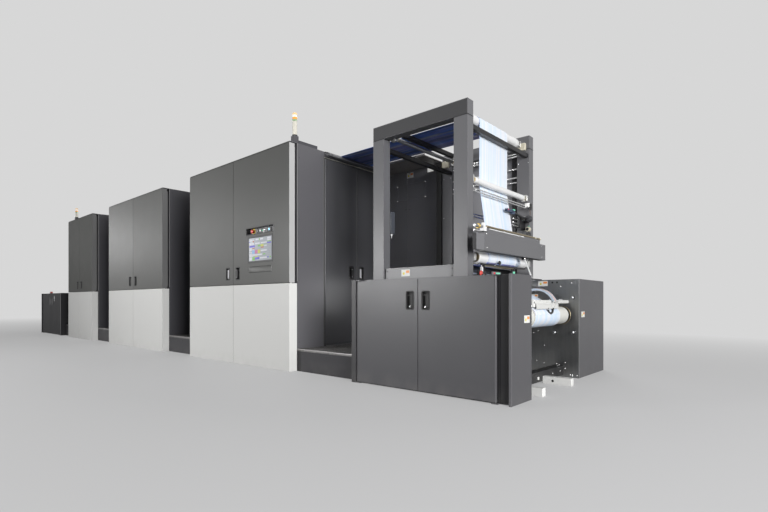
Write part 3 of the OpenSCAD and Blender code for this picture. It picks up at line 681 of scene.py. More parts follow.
    def frame(self, size, rim, depth, corner, at=(0, 0, 0)):
        """A flat rim with rounded corners round a rectangle, with its middle at a point of the face."""
        (w, h), (low, high) = size, depth
        wide, tall = w + 2 * rim, h + 2 * rim
        soft = min(rim * 0.3, (high - low) * 0.6)
        loops = ((w, h, corner, low), (wide, tall, corner + rim, low), (wide, tall, corner + rim,
            high - soft), (wide - 2 * soft, tall - 2 * soft, corner + rim - soft, high), (w, h, corner, high))
        return self.loft([[Vector(p) + Vector(at) for p in rounded_loop(*loop)] for loop in loops],
            closed=True)

    def make(self, soften=0):
        """Makes the object, softens its edges, and lets it ride on its body."""
        bmesh.ops.recalc_face_normals(self.mesh, faces=self.mesh.faces)
        data = bpy.data.meshes.new(self.name)
        self.mesh.to_mesh(data)
        self.mesh.free()
        for finish in self.finishes:
            data.materials.append(FINISHES[finish])
        data.polygons.foreach_set("use_smooth", [True] * len(data.polygons))
        data.set_sharp_from_angle(angle=SMOOTH_BELOW)
        made = bpy.data.objects.new(self.name, data)
        bpy.context.scene.collection.objects.link(made)
        if soften:
            bevel = made.modifiers.new("soft_edges", "BEVEL")
            bevel.width, bevel.segments = soften, 2
            bevel.limit_method, bevel.angle_limit = "ANGLE", math.radians(50)
            bevel.harden_normals = True
        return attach(made, self.body)


def pocket(node, axis, level):
    """The box of the corners at one level of an axis, such as a recess's floor, away from hinge pins."""
    low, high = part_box(node)
    points = [v.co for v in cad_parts[node].data.vertices
              if abs(v.co[axis] - level) < 0.0003 and low.z + 0.045 < v.co.z < high.z - 0.045]
    if not points:
        raise RuntimeError(f"{node} has no corners at {level}")
    return (Vector(min(p[k] for p in points) for k in range(3)),
        Vector(max(p[k] for p in points) for k in range(3)))


def module_ends(module):
    """Where a module's pair of doors starts and ends."""
    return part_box(f"front_door_{module}_left")[0].x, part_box(f"front_door_{module}_right")[1].x


def pocket_face(node, depth):
    """The middle of a front door's pocket, on the doors' face, and the pocket's width and height."""
    low, high = pocket(node, 1, CAD_BOX[0].y + depth)
    return ((low.x + high.x) / 2, CAD_BOX[0].y, (low.z + high.z) / 2), high.x - low.x, high.z - low.z


def sticker(piece, right, up, wide, tall):
    """A small plain sticker: pale, with one coloured bar and one coloured dot."""
    piece.blocks(("sticker", (right - wide / 2, right + wide / 2), (up - tall / 2, up + tall / 2),
        (-0.0005, 0.0006)), ("sticker_orange", (right + wide * 0.05, right + wide * 0.44),
        (up - tall * 0.02, up + tall * 0.36), (0.0004, 0.0009)))
    piece.use("sticker_yellow").turn((right - wide * 0.22, up - tall * 0.08, 0.0004), OUT,
        [(0, tall * 0.2), (0.0005, tall * 0.2)], sides=16)


def grille(piece, up, wide, tall, louvres, finish="black_plastic"):
    """A framed vent with sloping louvres."""
    piece.blocks((finish, (-wide / 2, wide / 2), (up - tall / 2, up + tall / 2), (-0.0005, 0.0015)))
    step, half = (tall - 0.02) / louvres, wide / 2 - 0.012
    for k in range(louvres):
        foot = up - tall / 2 + 0.01 + k * step
        piece.loft([[(x, foot, 0.001), (x, foot + step * 0.75, 0.001), (x, foot + step * 0.25, 0.008),
            (x, foot, 0.0085)] for x in (-half, half)])


def wound(piece, y, wide, bore, radius, edge, sides):
    """A wound roll of paper with soft edges."""
    piece.turn((0, y, 0), ALONG, [(0, bore), (0, radius - edge), (edge, radius), (wide - edge, radius),
        (wide, radius - edge), (wide, bore)], closed=True, sides=sides)


# ---------------------------------------------------------------- finishes on the frame

FRONT_RECESS, CABINET_RECESS, END_RECESS = 0.034, 0.021, 0.024      # depths of the handle recesses
SCREEN_POCKET, STRIP_POCKET, DRAWER_GROOVE = 0.024, 0.048, 0.003    # depths in the third module's door


class PressOperator:
    """What all the press operators share."""

    bl_options = {"REGISTER", "UNDO"}


class PRESS_OT_finishes(PressOperator, bpy.types.Operator):
    """Make the finishes and put them on the frame's own parts"""

    bl_idname = "press.finishes"
    bl_label = "Finishes"

    WORN_BY = {
        "cabinet": "rewinder_cabinet rewinder_door_left rewinder_door_right rear_cabinets",
        "cabinet_painted_shade": "unwinder_cabinet unwinder_door_left unwinder_door_right",
        "door": "front_door_3_right", "door_seam_shade": "front_door_3_left",
        "door_satin": "front_door_2_right", "door_satin_seam_shade": "front_door_2_left",
        "door_matt": "front_door_1_right", "door_matt_seam_shade": "front_door_1_left",
        "housing": "housing_1 housing_2 housing_3",
        "panel": "lower_panels", "rear_panel": "rear_upper_panels",
        "pillar": "end_panels", "leaf": "end_door_front end_door_rear",
        "step": "walkway_steps", "rear_wall": "rear_walls",
        "portal": "portal_posts portal_beams portal_sill splice_cover",
        "black": "floor_beams cross_bars", "white": "base_rails",
        "plate": "side_plates", "steel": "guide_rods", "web": "paper_web", "screen": "touch_screen",
    }

    def execute(self, context):
        make_finishes()
        for finish, nodes in self.WORN_BY.items():
            for node in nodes.split():
                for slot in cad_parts[node].material_slots:
                    slot.material = FINISHES[finish]
        return {"FINISHED"}


# ---------------------------------------------------------------- doors

class PRESS_OT_handles(PressOperator, bpy.types.Operator):
    """Line every door's recess with a bowl, a lever and a lock"""

    bl_idname = "press.handles"
    bl_label = "Door Handles"

    WALL, LIP = 0.0025, 0.003     # thickness of the bowl, and how far its rim stands out

    def handle(self, node, body, axis, face, outward, depth, hand, lever):
        """axis is 1 on front doors and 0 on end doors; hand is 1 where the doors meet at the right."""
        low, high = pocket(node, axis, face - outward * depth)
        wide, tall = (high.x - low.x if axis else high.y - low.y), high.z - low.z
        middle = (low + high) / 2
        middle[axis] = face
        made = Piece(f"{node}_handle", body).on(middle, *(FRONT if axis else END))
        rim, wall, lip, floor = 2 * sizes().bezel, 2 * self.WALL, self.LIP, 0.003 - depth
        made.use("rubber" if lever == "rubber" else "black_plastic").rim(wide, tall,
            (-0.001, 0.002, 0.0008 - depth), (-0.001, 0.002, -0.0004), (rim, 0.014, -0.0004),
            (rim, 0.014, lip * 0.5), (rim - 0.003, 0.0125, lip), (0.003 - wall, 0.01, lip),
            (-wall, 0.009, lip * 0.4), (-wall - 0.004, 0.008, floor))
        # the lever hangs over the bowl's outer half and leaves room for fingers behind it
        left, right = sorted((hand * wide * 0.03, hand * wide * 0.43))
        top, bottom, front, back = tall * 0.36, -tall * 0.4, lip + 0.0015, -0.007
        made.use(lever).loft([[(left + u, bottom + v, z), (right - u, bottom + v, z), (right - u, top - v, z),
            (left + u, top - v, z)] for u, v, z in ((0, 0, back), (0, 0, front - 0.004),
            (0.003, 0.005, front))])
        if lever == "black_plastic":
            # pale spots on its edge: a painted highlight
            made.blocks(*[("pale_plastic", (left + 0.004, left + 0.008), (z, z + 0.012),
                (front - 0.001, front + 0.0006)) for z in (top - 0.016, bottom + 0.004)])
        # a pivot bar carries it, and the lock is below the fingers
        made.use("black_plastic").rod((-wide * 0.46, tall * 0.3, -0.01), (wide * 0.46, tall * 0.3, -0.01),
            0.004, sides=12)
        made.use("chrome").turn((-hand * wide * 0.22, -tall * 0.36, floor - 0.001), OUT, [
            (0, 0.0085), (0.004, 0.0085), (0.0055, 0.0072), (0.0055, 0.004), (0.003, 0.0038)], sides=16)
        made.make(0.0008)

    def execute(self, context):
        face = CAD_BOX[0].y
        for module in MODULES:
            levers = ("pale_plastic", "black_plastic") if module == 3 else ("rubber", "rubber")
            for side, hand, lever in zip(SIDES, (1, -1), levers):
                self.handle(f"front_door_{module}_{side}", f"module_{module}_door_{side}", 1, face, -1,
                    FRONT_RECESS, hand, lever)
        for stand, lever in (("rewinder", "rubber"), ("unwinder", "grey_plastic")):
            for side in SIDES:
                self.handle(f"{stand}_door_{side}", f"{stand}_{side}_door", 1, face, -1, CABINET_RECESS, 1,
                    lever)
        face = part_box("end_door_front")[1].x
        for place, hand, lever in (("front", 1, "black_plastic"), ("rear", -1, "pale_plastic")):
            self.handle(f"end_door_{place}", f"module_3_end_door_{place}", 0, face, 1, END_RECESS, hand,
                lever)
        return {"FINISHED"}


# ---------------------------------------------------------------- stage

class PRESS_OT_stage(PressOperator, bpy.types.Operator):
    """Set the camera, the lamps, the floor and the room"""

    bl_idname = "press.stage"
    bl_label = "Stage"

    CAMERA, LOOK = (7.525, -4.159, 0.725), (-0.66208, 0.74943, 0)

    # each lamp: its power in the settings, its place, its target, its width and height
    LAMPS = (("key", (-0.6, -7.75, 1.9), (5.0, -1.15, 0.9), (2.4, 1.0)),
             ("far", (-22.0, -7.6, 4.2), (-1.0, -1.15, 1.4), (2.6, 2.6)),
             ("near", (-9.0, -7.6, 3.5), (2.2, -1.15, 1.5), (2.2, 2.4)),
             ("bay", (4.22, -0.05, 0.8), (3.555, -0.35, 0.3), (0.5, 0.5)),
             ("side", (12.6, -4.0, 2.6), (4.0, -0.4, 1.2), (3.4, 3.0)),
             ("top", (5.2, -0.6, 5.0), (5.2, -0.2, 1.0), (2.4, 2.4)),
             ("back", (-1.0, 8.5, 3.6), (0.0, 1.1, 1.2), (6.0, 2.0)))

    def place(self, data, place, direction):
        """Links a lamp or camera that looks in a direction."""
        made = bpy.data.objects.new(data.name, data)
        bpy.context.scene.collection.objects.link(made)
        made.location = place
        made.rotation_euler = Vector(direction).to_track_quat("-Z", "Y").to_euler()
        return made

    def seen(self, maker):
        """1 for what the camera, glossy and clear surfaces see, 0 for what lights the press."""
        rays = [maker.node("LightPath", output=f"Is {kind} Ray") for kind in ("Camera", "Glossy",
            "Transmission")]
        return rays[0] + rays[1] + rays[2] > 0.5

    def floor(self, stage):
        f = Finish("studio_floor")
        away = f.node("VectorMath", {"operation": "LENGTH"}, {0: f.place((0.45, 1, 1))}, output="Value")
        pale = f.mix(shade(stage.floor, 0.985), tuple(stage.floor), f.noise(3, 3))
        plain = f.node("BsdfPrincipled", inputs={
            "Base Color": f.mix(shade(stage.floor, 0.15), pale, self.seen(f)), "Roughness": 0.6})
        bright = f.node("Emission", inputs={"Color": (1, 1, 1, 1), "Strength": stage.room})
        share = (f.spread(away, 3.2, 8.5) * 0.55 + 0.45) * self.seen(f)
        f.node("OutputMaterial", inputs={"Surface": f.node("MixShader", inputs={0: share, 1: plain,
            2: bright})})
        FINISHES["floor"] = f.material
        ground = Piece("studio_floor").use("floor").block((-60, -60, -0.02), (60, 60, 0))
        ground.make()

    def execute(self, context):
        stage, scene = context.scene.press_stage, context.scene
        lens = bpy.data.cameras.new("studio_camera")
        lens.lens, lens.sensor_width, lens.shift_y = 22.07, 36, 0.0599
        scene.camera = self.place(lens, self.CAMERA, self.LOOK)
        for name, place, target, size in self.LAMPS:
            lamp = bpy.data.lights.new(f"{name}_lamp", "AREA")
            lamp.shape, (lamp.size, lamp.size_y), lamp.energy = "RECTANGLE", size, getattr(stage, name)
            self.place(lamp, place, Vector(target) - Vector(place)).visible_camera = False
        self.floor(stage)
        scene.world = bpy.data.worlds.new("studio_room")
        scene.world.use_nodes = True
        room = NodeMaker(scene.world.node_tree)
        strength = self.seen(room) * (stage.room - stage.ambient) + stage.ambient
        room.node("OutputWorld", inputs={"Surface": room.node(
            "Background", inputs={"Color": (1, 1, 1, 1), "Strength": strength})})
        scene.view_settings.view_transform = "Standard"
        return {"FINISHED"}


# ---------------------------------------------------------------- controls on the third module

class PRESS_OT_controls(PressOperator, bpy.types.Operator):
    """Build the control strip with its buttons, key and knob"""

    bl_idname = "press.controls"
    bl_label = "Control Strip"

    BACK = -0.036                 # level of the strip's sunk face
    STOP_PLATE = ((0, 0.032), (0.003, 0.032), (0.0045, 0.0305), (0.0045, 0.012))
    STOP_NECK = ((0, 0.019), (0.01, 0.019), (0.012, 0.017), (0.014, 0.012))
    STOP_HEAD = ((0, 0.011), (0.008, 0.012), (0.01, 0.02), (0.015, 0.0225), (0.02, 0.0215), (0.0235, 0.016),
                 (0.0245, 0.006))

    def execute(self, context):
        body, back = "module_3_door_right", self.BACK
        centre, wide, tall = pocket_face("front_door_3_right", STRIP_POCKET)

        def across(share):
            return wide * (share - 0.5)

        strip = Piece("control_strip_plate", body).on(centre, *FRONT).use("black_plastic")
        strip.rim(wide, tall, (-0.001, 0.002, 0.001 - STRIP_POCKET), (-0.001, 0.002, -0.0004),
            (0.012, 0.006, -0.0004), (0.012, 0.006, 0.0012), (0.009, 0.005, 0.002), (-0.005, 0.003, 0.002),
            (-0.006, 0.003, back - 0.002))
        strip.blocks(("strip_grey", (across(0.1), across(0.985)), (0.005 - tall / 2, tall / 2 - 0.005),
            (back - 0.003, back)), ("black_plastic", (across(0.3), across(0.57)), (-tall * 0.34, tall * 0.34),
            (back - 0.001, back + 0.0015)), ("black_plastic", (across(0.69), across(0.85)),
            (-tall * 0.37, tall * 0.37), (back - 0.001, back + 0.008)))
        strip.screws("chrome", corners((across(0.12), across(0.965)), (-0.024, 0.024), back), OUT, 0.003)
        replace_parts(strip.make(0.0006), "control_strip")

        buttons = Piece("control_strip_buttons", body).on(centre, *FRONT)
        stop = across(0.19)
        buttons.use("yellow").turn((stop, 0, back - 0.001), OUT, self.STOP_PLATE)
        buttons.use("black_plastic").turn((stop, 0, back), OUT, self.STOP_NECK)
        buttons.use("red").turn((stop, 0, back + 0.01), OUT, self.STOP_HEAD)
        for share, r, cap in ((0.345, 0.008, "grey_plastic"), (0.44, 0.0105, "white_light"),
                (0.52, 0.0095, "green_light")):
            foot = (across(share), 0, back)
            buttons.use("chrome").ring(foot, (foot[0], 0, back + 0.005), r + 0.003, r)
            buttons.use(cap).turn(foot, OUT, [(0, r), (0.006, r), (0.0085, r * 0.8), (0.0095, r * 0.4)])
        key = across(0.605)
        buttons.use("chrome").turn((key, 0.006, back), OUT, [(0, 0.012), (0.005, 0.012), (0.006, 0.01),
            (0.007, 0.006)])
        buttons.block((key - 0.0012, 0, back + 0.005), (key + 0.0012, 0.012, back + 0.026))
        buttons.ring((key - 0.001, -0.001, back + 0.022), (key + 0.001, -0.001, back + 0.022), 0.006, 0.0045,
            sides=16)
        buttons.use("sticker").block((key - 0.007, -0.03, back + 0.019), (key + 0.007, -0.006, back + 0.021))
        lit = across(0.77)
        buttons.use("chrome").frame((0.024, 0.024), 0.0025, (0, 0.004), 0.003, (lit, 0, back + 0.007))
        buttons.use("blue_light").block((lit - 0.0115, -0.0115, back + 0.006),
            (lit + 0.0115, 0.0115, back + 0.0105))
        knob = across(0.915)
        buttons.use("black_plastic").ring((knob, 0, back - 0.001), (knob, 0, back + 0.006), 0.021, 0.013)
        buttons.use("grey_plastic").turn((knob, 0, back - 0.001), OUT, [(0, 0.0125), (0.01, 0.012),
            (0.013, 0.0105), (0.014, 0.004)])
        buttons.use("pale_plastic").block((knob - 0.0012, 0.001, back + 0.012),
            (knob + 0.0012, 0.01, back + 0.0145))
        buttons.make(0.0004)
        return {"FINISHED"}


class PRESS_OT_screen(PressOperator, bpy.types.Operator):
    """Build the bezel of the screen, the plain blocks it shows, and the drawer below"""

    bl_idname = "press.screen"
    bl_label = "Screen and Drawer"

    # plain blocks by colour: left, bottom, right and top as hundredths of the screen
    BLOCKS = {
        "ui_white": ((2, 88, 24, 94), (30, 90, 44, 97), (50, 90, 63, 97), (81, 90, 97, 98), (81, 82, 97, 89),
                     (2, 72, 22, 79), (28, 72, 49, 79), (53, 73, 79, 79), (68, 60, 79, 65), (52, 39, 79, 45),
                     (18, 22, 59, 28), (48, 7, 79, 13), (2, 3, 12, 14), (2, 47, 13, 53)),
        "ui_grey": (*((83, up, 97, up + 0.5) for up in (66, 57, 48, 39, 30, 21)),
                    (2, 41.5, 13, 43), (2, 33.5, 13, 35), (52, 33.5, 79, 34.5), (17, 19.5, 79, 20)),
        "ui_blue": ((2, 60, 26, 69), (27, 5, 47, 14), (81, 70.5, 97, 76), (81, 9, 88, 13), (0, 84, 5, 87.5)),
        "ui_green": ((40, 61, 52, 69), (81, 77.5, 97, 81), (66, 66, 79, 67.5), (63, 23, 73, 28.5), (15, 1, 26,
            17.5),
                     (91, 8, 97, 14), (45.5, 88, 48.5, 97)),
        "ui_yellow": ((53, 60, 65, 70), (40, 31, 51, 48), (27, 15.5, 40, 20)),
        "ui_sky": ((14, 31, 26, 47),),
        "ui_pink": ((27, 31, 39, 48),),
        "ui_red": ((17, 83, 23, 89), (15, 53, 26, 57), (54, 54, 66, 58.5)),
    }

    def execute(self, context):
        door, body = "front_door_3_right", "module_3_door_right"
        centre, wide, tall = pocket_face(door, SCREEN_POCKET)
        bezel = Piece("screen_bezel", body).on(centre, *FRONT).use("black_plastic")
        bezel.rim(wide, tall, (0.01, 0.006, -0.0005), (0.01, 0.006, 0.001), (0.006, 0.005, 0.0022),
            (-0.03, 0.003, 0.0022), (-0.034, 0.002, -0.0012), (-0.034, 0.002, -0.0025), closed=True).make()
        blocks = Piece("screen_blocks", body).on(centre, *FRONT)
        wide, tall = (wide - 0.04) / 100, (tall - 0.04) / 100
        blocks.blocks(*[(finish, ((left - 50) * wide, (right - 50) * wide),
            ((bottom - 50) * tall, (top - 50) * tall), (-0.0024, -0.0014)) for finish,
            places in self.BLOCKS.items() for left, bottom, right, top in places])
        blocks.make()
        # the drawer: a dark line in its groove and a soft front
        centre, wide, tall = pocket_face(door, DRAWER_GROOVE)
        drawer = Piece("drawer_front", body).on(centre, *FRONT).use("rubber")
        drawer.frame((wide - 0.0076, tall - 0.0076), 0.0036, (0.0001 - DRAWER_GROOVE, -0.0018), 0.002)
        drawer.use("door").rim(wide, tall, (-0.012, 0.003, -0.0004), (-0.012, 0.003, 0.0006),
            (-0.015, 0.003, 0.0016)).make()
        return {"FINISHED"}


# ---------------------------------------------------------------- trims of the modules

class PRESS_OT_door_trims(PressOperator, bpy.types.Operator):
    """Add lip seals, foot strips and corner feet to the modules"""

    bl_idname = "press.door_trims"
    bl_label = "Door Trims"

    def execute(self, context):
        for module in MODULES:
            for side, sign in zip(SIDES, (1, -1)):
                node = f"front_door_{module}_{side}"
                low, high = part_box(node)
                # the lip where the doors meet, and the gasket between the door's skin and its inner frame
                Piece(f"{node}_seal", f"module_{module}_door_{side}").at(0, low.y).blocks(
                    ("rubber", reach(high.x if sign > 0 else low.x, sign, -0.001, 0.0022), (0.016, 0.024),
                     (low.z + 0.004, high.z - 0.004), 0.0006),
                    *[("rubber", (x, x + 0.01), (0.069, 0.075), (low.z + 0.02, high.z - 0.02), 0.002)
                      for x in (low.x + 0.014, high.x - 0.024)]).make()
            left, right = module_ends(module)
            Piece(f"module_{module}_kick_strip").at(0, CAD_BOX[0].y).blocks(("panel",
                (left + 0.004, right - 0.004), (-0.0008, 0.003), (0.0005, 0.014), 0.0004),
                *[("rubber", (x, x + 0.04), (0.004, 0.05), (0.0002, 0.006)) for x in (left + 0.002,
                right - 0.042)]).make()
        return {"FINISHED"}


class PRESS_OT_towers(PressOperator, bpy.types.Operator):
    """Build the signal towers on their bases"""

    bl_idname = "press.towers"
    bl_label = "Signal Towers"

    def execute(self, context):
        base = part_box("housing_1")[1].z
        tubes, bases = Piece("signal_tower_tubes"), Piece("signal_tower_bases")
        low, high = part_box("signal_towers")
        side, y = high.y - low.y, (low.y + high.y) / 2
        for x in (low.x + side / 2, high.x - side / 2):
            bases.on((x, y, base), *TOP).use("tower_base")
            bases.rim(side, side, (0, 0.004, 0), (0, 0.004, 0.092), (-0.004, 0.004, 0.098),
                (-0.02, 0.014, 0.1))
            bases.use("black_plastic").turn((0, 0, 0.098), OUT, [(0, 0.029), (0.01, 0.029), (0.013, 0.026)])
            bases.screws("steel", [(u, -side / 2, 0.02) for u in (-0.021, 0.021)], NEAR, 0.003)
            points = [v.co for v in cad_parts["signal_towers"].data.vertices if abs(v.co.x - x) < side]
            tall = max(p.z for p in points) - base
            r, tip = 0.0255, 0.0012
            tubes.at(x, y, base)
            for finish, start, end in (("ivory", 0.108, tall - 0.095), ("green_band", tall - 0.094,
                    tall - 0.074), ("amber", tall - 0.073, tall - 0.051), ("white_light", tall - 0.05,
                    tall - 0.028)):
                tubes.use(finish).turn((0, 0, 0), OUT, [(start, r - tip), (start + tip, r), (end - tip, r),
                    (end, r - tip)], sides=32)
            tubes.use("cap_amber").turn((0, 0, tall - 0.027), OUT, [(0, r - tip), (tip, r), (0.013, r),
                (0.019, r * 0.92), (0.024, r * 0.68), (0.027, r * 0.28)], sides=32)
            tubes.use("ivory").rod((0, 0, 0.1), (0, 0, tall - 0.02), 0.02)
        bases.make(0.001)
        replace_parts(tubes.make(), "signal_towers")
        return {"FINISHED"}


# ---------------------------------------------------------------- walkways

class PRESS_OT_gratings(PressOperator, bpy.types.Operator):
    """Build the gratings from bearing bars and cross bars, with a nosing on each step"""

    bl_idname = "press.gratings"
    bl_label = "Gratings"

    def spans(self):
        """Start, end, front and back of each walkway."""
        edge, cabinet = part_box("walkway_gratings"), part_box("rewinder_cabinet")
        wall_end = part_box("rear_walls")[1].x
        ends = [(*STEP_ENDS[0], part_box("side_plates")[0].y), (*STEP_ENDS[1], edge[1].y),
            (*STEP_ENDS[2], edge[1].y), (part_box("end_panels")[1].x, wall_end, edge[1].y),
            (wall_end, cabinet[0].x, cabinet[1].y)]
        return [(start, end, edge[0].y, rear) for start, end, rear in ends]

    def execute(self, context):
        low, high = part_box("walkway_gratings")
        pitch, thick, top = sizes().grate_pitch, sizes().grate_bar, high.z
        spans = self.spans()
        grate = Piece("walkway_grating_bars").use("zinc")
        for start, end, front, rear in spans:
            a, b = start + 0.003, end + (0.002 if start >= STEP_ENDS[3][0] else -0.003)
            count = max(2, round((rear - front - 0.02) / pitch))
            for k in range(count + 1):
                y = front + 0.008 + (rear - front - 0.016) * k / count
                grate.block((a, y - thick / 2, low.z + 0.0005), (b, y + thick / 2, top - 0.0015))
            crossings = max(2, round((b - a) / (pitch * 1.4)))
            for k in range(crossings + 1):
                x = a + 0.006 + (b - a - 0.012) * k / crossings
                grate.block((x - 0.003, front + 0.006, top - 0.01), (x + 0.003, rear - 0.002, top - 0.0008))
            for x in (a, b - 0.005):
                grate.block((x, front + 0.004, low.z), (x + 0.005, rear - 0.001, top - 0.0004))
        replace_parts(grate.make(), "walkway_gratings")
        nosing = Piece("walkway_nosings")
        ends = [span[1] for span in spans[:3]] + [spans[4][1]]
        for (start, _, front, rear), end in zip(spans, ends):
            nosing.at(0, front, top).blocks(
                ("nosing", (start + 0.003, end - 0.001), (-0.0005, 0.007), (-0.011, 0), 0.0012),
                ("nosing", (start + 0.003, end - 0.001), (0.004, 0.016), (-0.005, 0.0008), 0.0008))
            nosing.screws("nosing", [(start + (end - start) * (k + 0.5) / 4, 0.01, 0.0008) for k in range(4)],
                OUT, 0.004)
        nosing.make()
        return {"FINISHED"}


class PRESS_OT_steps(PressOperator, bpy.types.Operator):
    """Add the cover plates and screws of the step risers, and the joints between the white panels"""

    bl_idname = "press.steps"
    bl_label = "Step Covers"

    def execute(self, context):
        face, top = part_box("walkway_steps")[0].y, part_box("walkway_steps")[1].z
        covers = Piece("step_covers").at(0, face)
        for start, end in STEP_ENDS:
            covers.blocks(("step", (start + 0.004, end - 0.004), (-0.0025, 0.001), (0.012, top - 0.016),
                0.0012))
            covers.screws("black", [(x, -0.0025, z) for x in (start + 0.03, (start + end) / 2, end - 0.03)
                for z in (0.035, top - 0.035)], NEAR, 0.0055)
        covers.make()
        joints = Piece("panel_joints")
        low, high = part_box("lower_panels")
        for y, sign in ((low.y, 1), (high.y, -1)):
            for module in MODULES:
                a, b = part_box(f"housing_{module}")
                joints.at((a.x + b.x) / 2, y).blocks(("seam", (-0.0029, 0.0029),
                    reach(0, sign, 0.0015, 0.012), (0.004, 0.918)))
        joints.make()
        return {"FINISHED"}


# ---------------------------------------------------------------- end of the third module

class PRESS_OT_end_wall(PressOperator, bpy.types.Operator):
    """Add seal strips, the header, hinges and screws to the third module's end"""

    bl_idname = "press.end_wall"
    bl_label = "End Wall"

    def execute(self, context):
        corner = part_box("end_panels")[1]
        face, top = corner.x, corner.z
        front_low, front_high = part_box("end_door_front")
        rear_low, rear_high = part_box("end_door_rear")
        y0, y1, head = front_low.y, rear_high.y, front_high.z
        # a bright line beside the first module door, seals beside the doors, the header and the roof seam
        strips = Piece("end_wall_strips").at(face).blocks(("line", (-0.006, 0.0008), DOOR_LINE,
            (0.945, top - 0.004), 0.0008), *[("seal", (-0.003, 0.0025), (y, y + 0.008), (0.25, head + 0.004),
            0.001) for y in (y0 - 0.019, y1 + 0.0105)], ("header", (-0.002, 0.0035), (y0 - 0.01, y1 + 0.01),
            (head + 0.0068, head + 0.0145), 0.001), ("black", (-0.002, 0.016), (y0 - 0.004, y1 + 0.014),
            (top - 0.014, top - 0.002), 0.002))
        strips.turn((0.0005, y0 + 0.004, 0.236), OUT, [(0, 0.013), (0.004, 0.013), (0.006, 0.01),
            (0.011, 0.01)]).make()
        # folded skin of the pillar: a rounded return into the doorway
        pillar = Piece("end_pillar_skin").at(face).use("pillar")
        skin, bend = 0.0016, 0.016
        start = y0 - 0.021 - bend
        outer = [(-0.0005, -1.041), (skin, -1.0405), (skin, start)]
        outer += [(max(skin - bend * (1 - math.cos(a)), -0.0005), start + bend * math.sin(a))
            for a in (math.radians(15 * k) for k in range(1, 7))]
        pillar.loft([[(x, y, z) for x, y in outer] for z in (0.004, top - 0.016)])
        pillar.screws("black", [(skin, -1.022, z) for z in (0.3, 0.95, 1.6, 2.25)], (1, 0, 0), 0.004).make()
        # a bright seal on the free edge of the first door
        Piece("end_door_front_seal", "module_3_end_door_front").at(face, front_high.y).blocks(
            ("seal", (-0.008, 0.001), (-0.0045, 0.0008), (front_low.z + 0.004, head - 0.004), 0.0008)).make()
        # screws on each leaf
        for place, low, high, sign in (("front", front_low, front_high, -1), ("rear", rear_low, rear_high,
                1)):
            leaf = Piece(f"end_door_{place}_skin", f"module_3_end_door_{place}").on(
                (face, (low.y + high.y) / 2, (low.z + high.z) / 2), *END).use("leaf")
            leaf.screws("black", corners((sign * ((high.y - low.y) / 2 - 0.03),), (-0.95, 0.95)), OUT,
                0.0045).make()
        return {"FINISHED"}


class PRESS_OT_rear_walls(PressOperator, bpy.types.Operator):
    """Add the perforated window, seams, duct fittings and ledge to the rear walls"""

    bl_idname = "press.rear_walls"
    bl_label = "Rear Walls"

    def execute(self, context):
        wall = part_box("walkway_gratings")[1].y
        start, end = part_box("end_panels")[1].x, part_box("rear_walls")[1].x
        window = Piece("rear_wall_window").on((3.905, wall, 2.096), *FRONT).use("rear_wall")
        window.frame((0.42, 0.165), 0.02, (-0.0005, 0.0045), 0.004)
        window.blocks(("mesh", (-0.212, 0.212), (-0.0845, 0.0845), (-0.0005, 0.002)),
            ("rear_wall", (-0.092, -0.086), (-0.083, 0.083), (0.001, 0.0026)))
        window.screws("chrome", corners((-0.219, 0.219), (-0.0915, 0.0915), 0.0045), OUT, 0.01).make()
        sheet = ((-0.003, 0.001), (0.24, 2.356), 0.001)       # front, height and soft edge of a wall sheet
        plates = Piece("rear_wall_panels").at(0, wall)
        plates.blocks(("rear_wall", (start + 0.004, 3.85), *sheet), ("rear_wall", (3.853, end - 0.042),
            *sheet))
        plates.screws("black", [(x, -0.003, z) for x in (start + 0.03, 3.825, 3.878, end - 0.06)
            for z in (0.32, 1.2, 1.88, 2.33)], NEAR, 0.005)
        # black cover over the duct beside the rear post
        plates.blocks(("rubber", (end - 0.072, end - 0.002), (-0.045, -0.0405), (0.24, 2.352), 0.001))
        for a, b in STEP_ENDS[1:3]:
            plates.blocks(("rear_wall", (a + 0.004, (a + b) / 2 - 0.002), *sheet),
                ("rear_wall", ((a + b) / 2 + 0.002, b - 0.004), *sheet))
        plates.make()
        marks = Piece("rear_wall_marks").on((3.89, wall - 0.003, 2.3), *FRONT)
        sticker(marks, 0, 0, 0.104, 0.066)
        marks.use("white_light").block((0.268, -0.01, -0.0005), (0.355, 0.052, 0.001)).make()
        # ledge that closes the roof between the wall and the web
        Piece("roof_ledge").blocks(
            ("ledge", (start + 0.004, end - 0.002), (0.078, wall + 0.05), (2.3605, 2.3675), 0.001),
            ("ledge", (start + 0.004, end - 0.002), (0.076, 0.081), (2.3605, 2.384), 0.001)).screws(
            "black", [(start + 0.08 + k * 0.13, 0.25, 2.3605) for k in range(6)], (0, 0, -1), 0.005).make()
        clips = Piece("duct_clips").use("black_plastic")
        for z in (0.5, 1.0, 1.5, 2.0):
            clips.at(end - 0.02, wall - 0.02, z).frame((0.04, 0.04), 0.003, (-0.01, 0.01), 0.002)
        clips.make()
        return {"FINISHED"}


# ---------------------------------------------------------------- cabinets of the winding stands

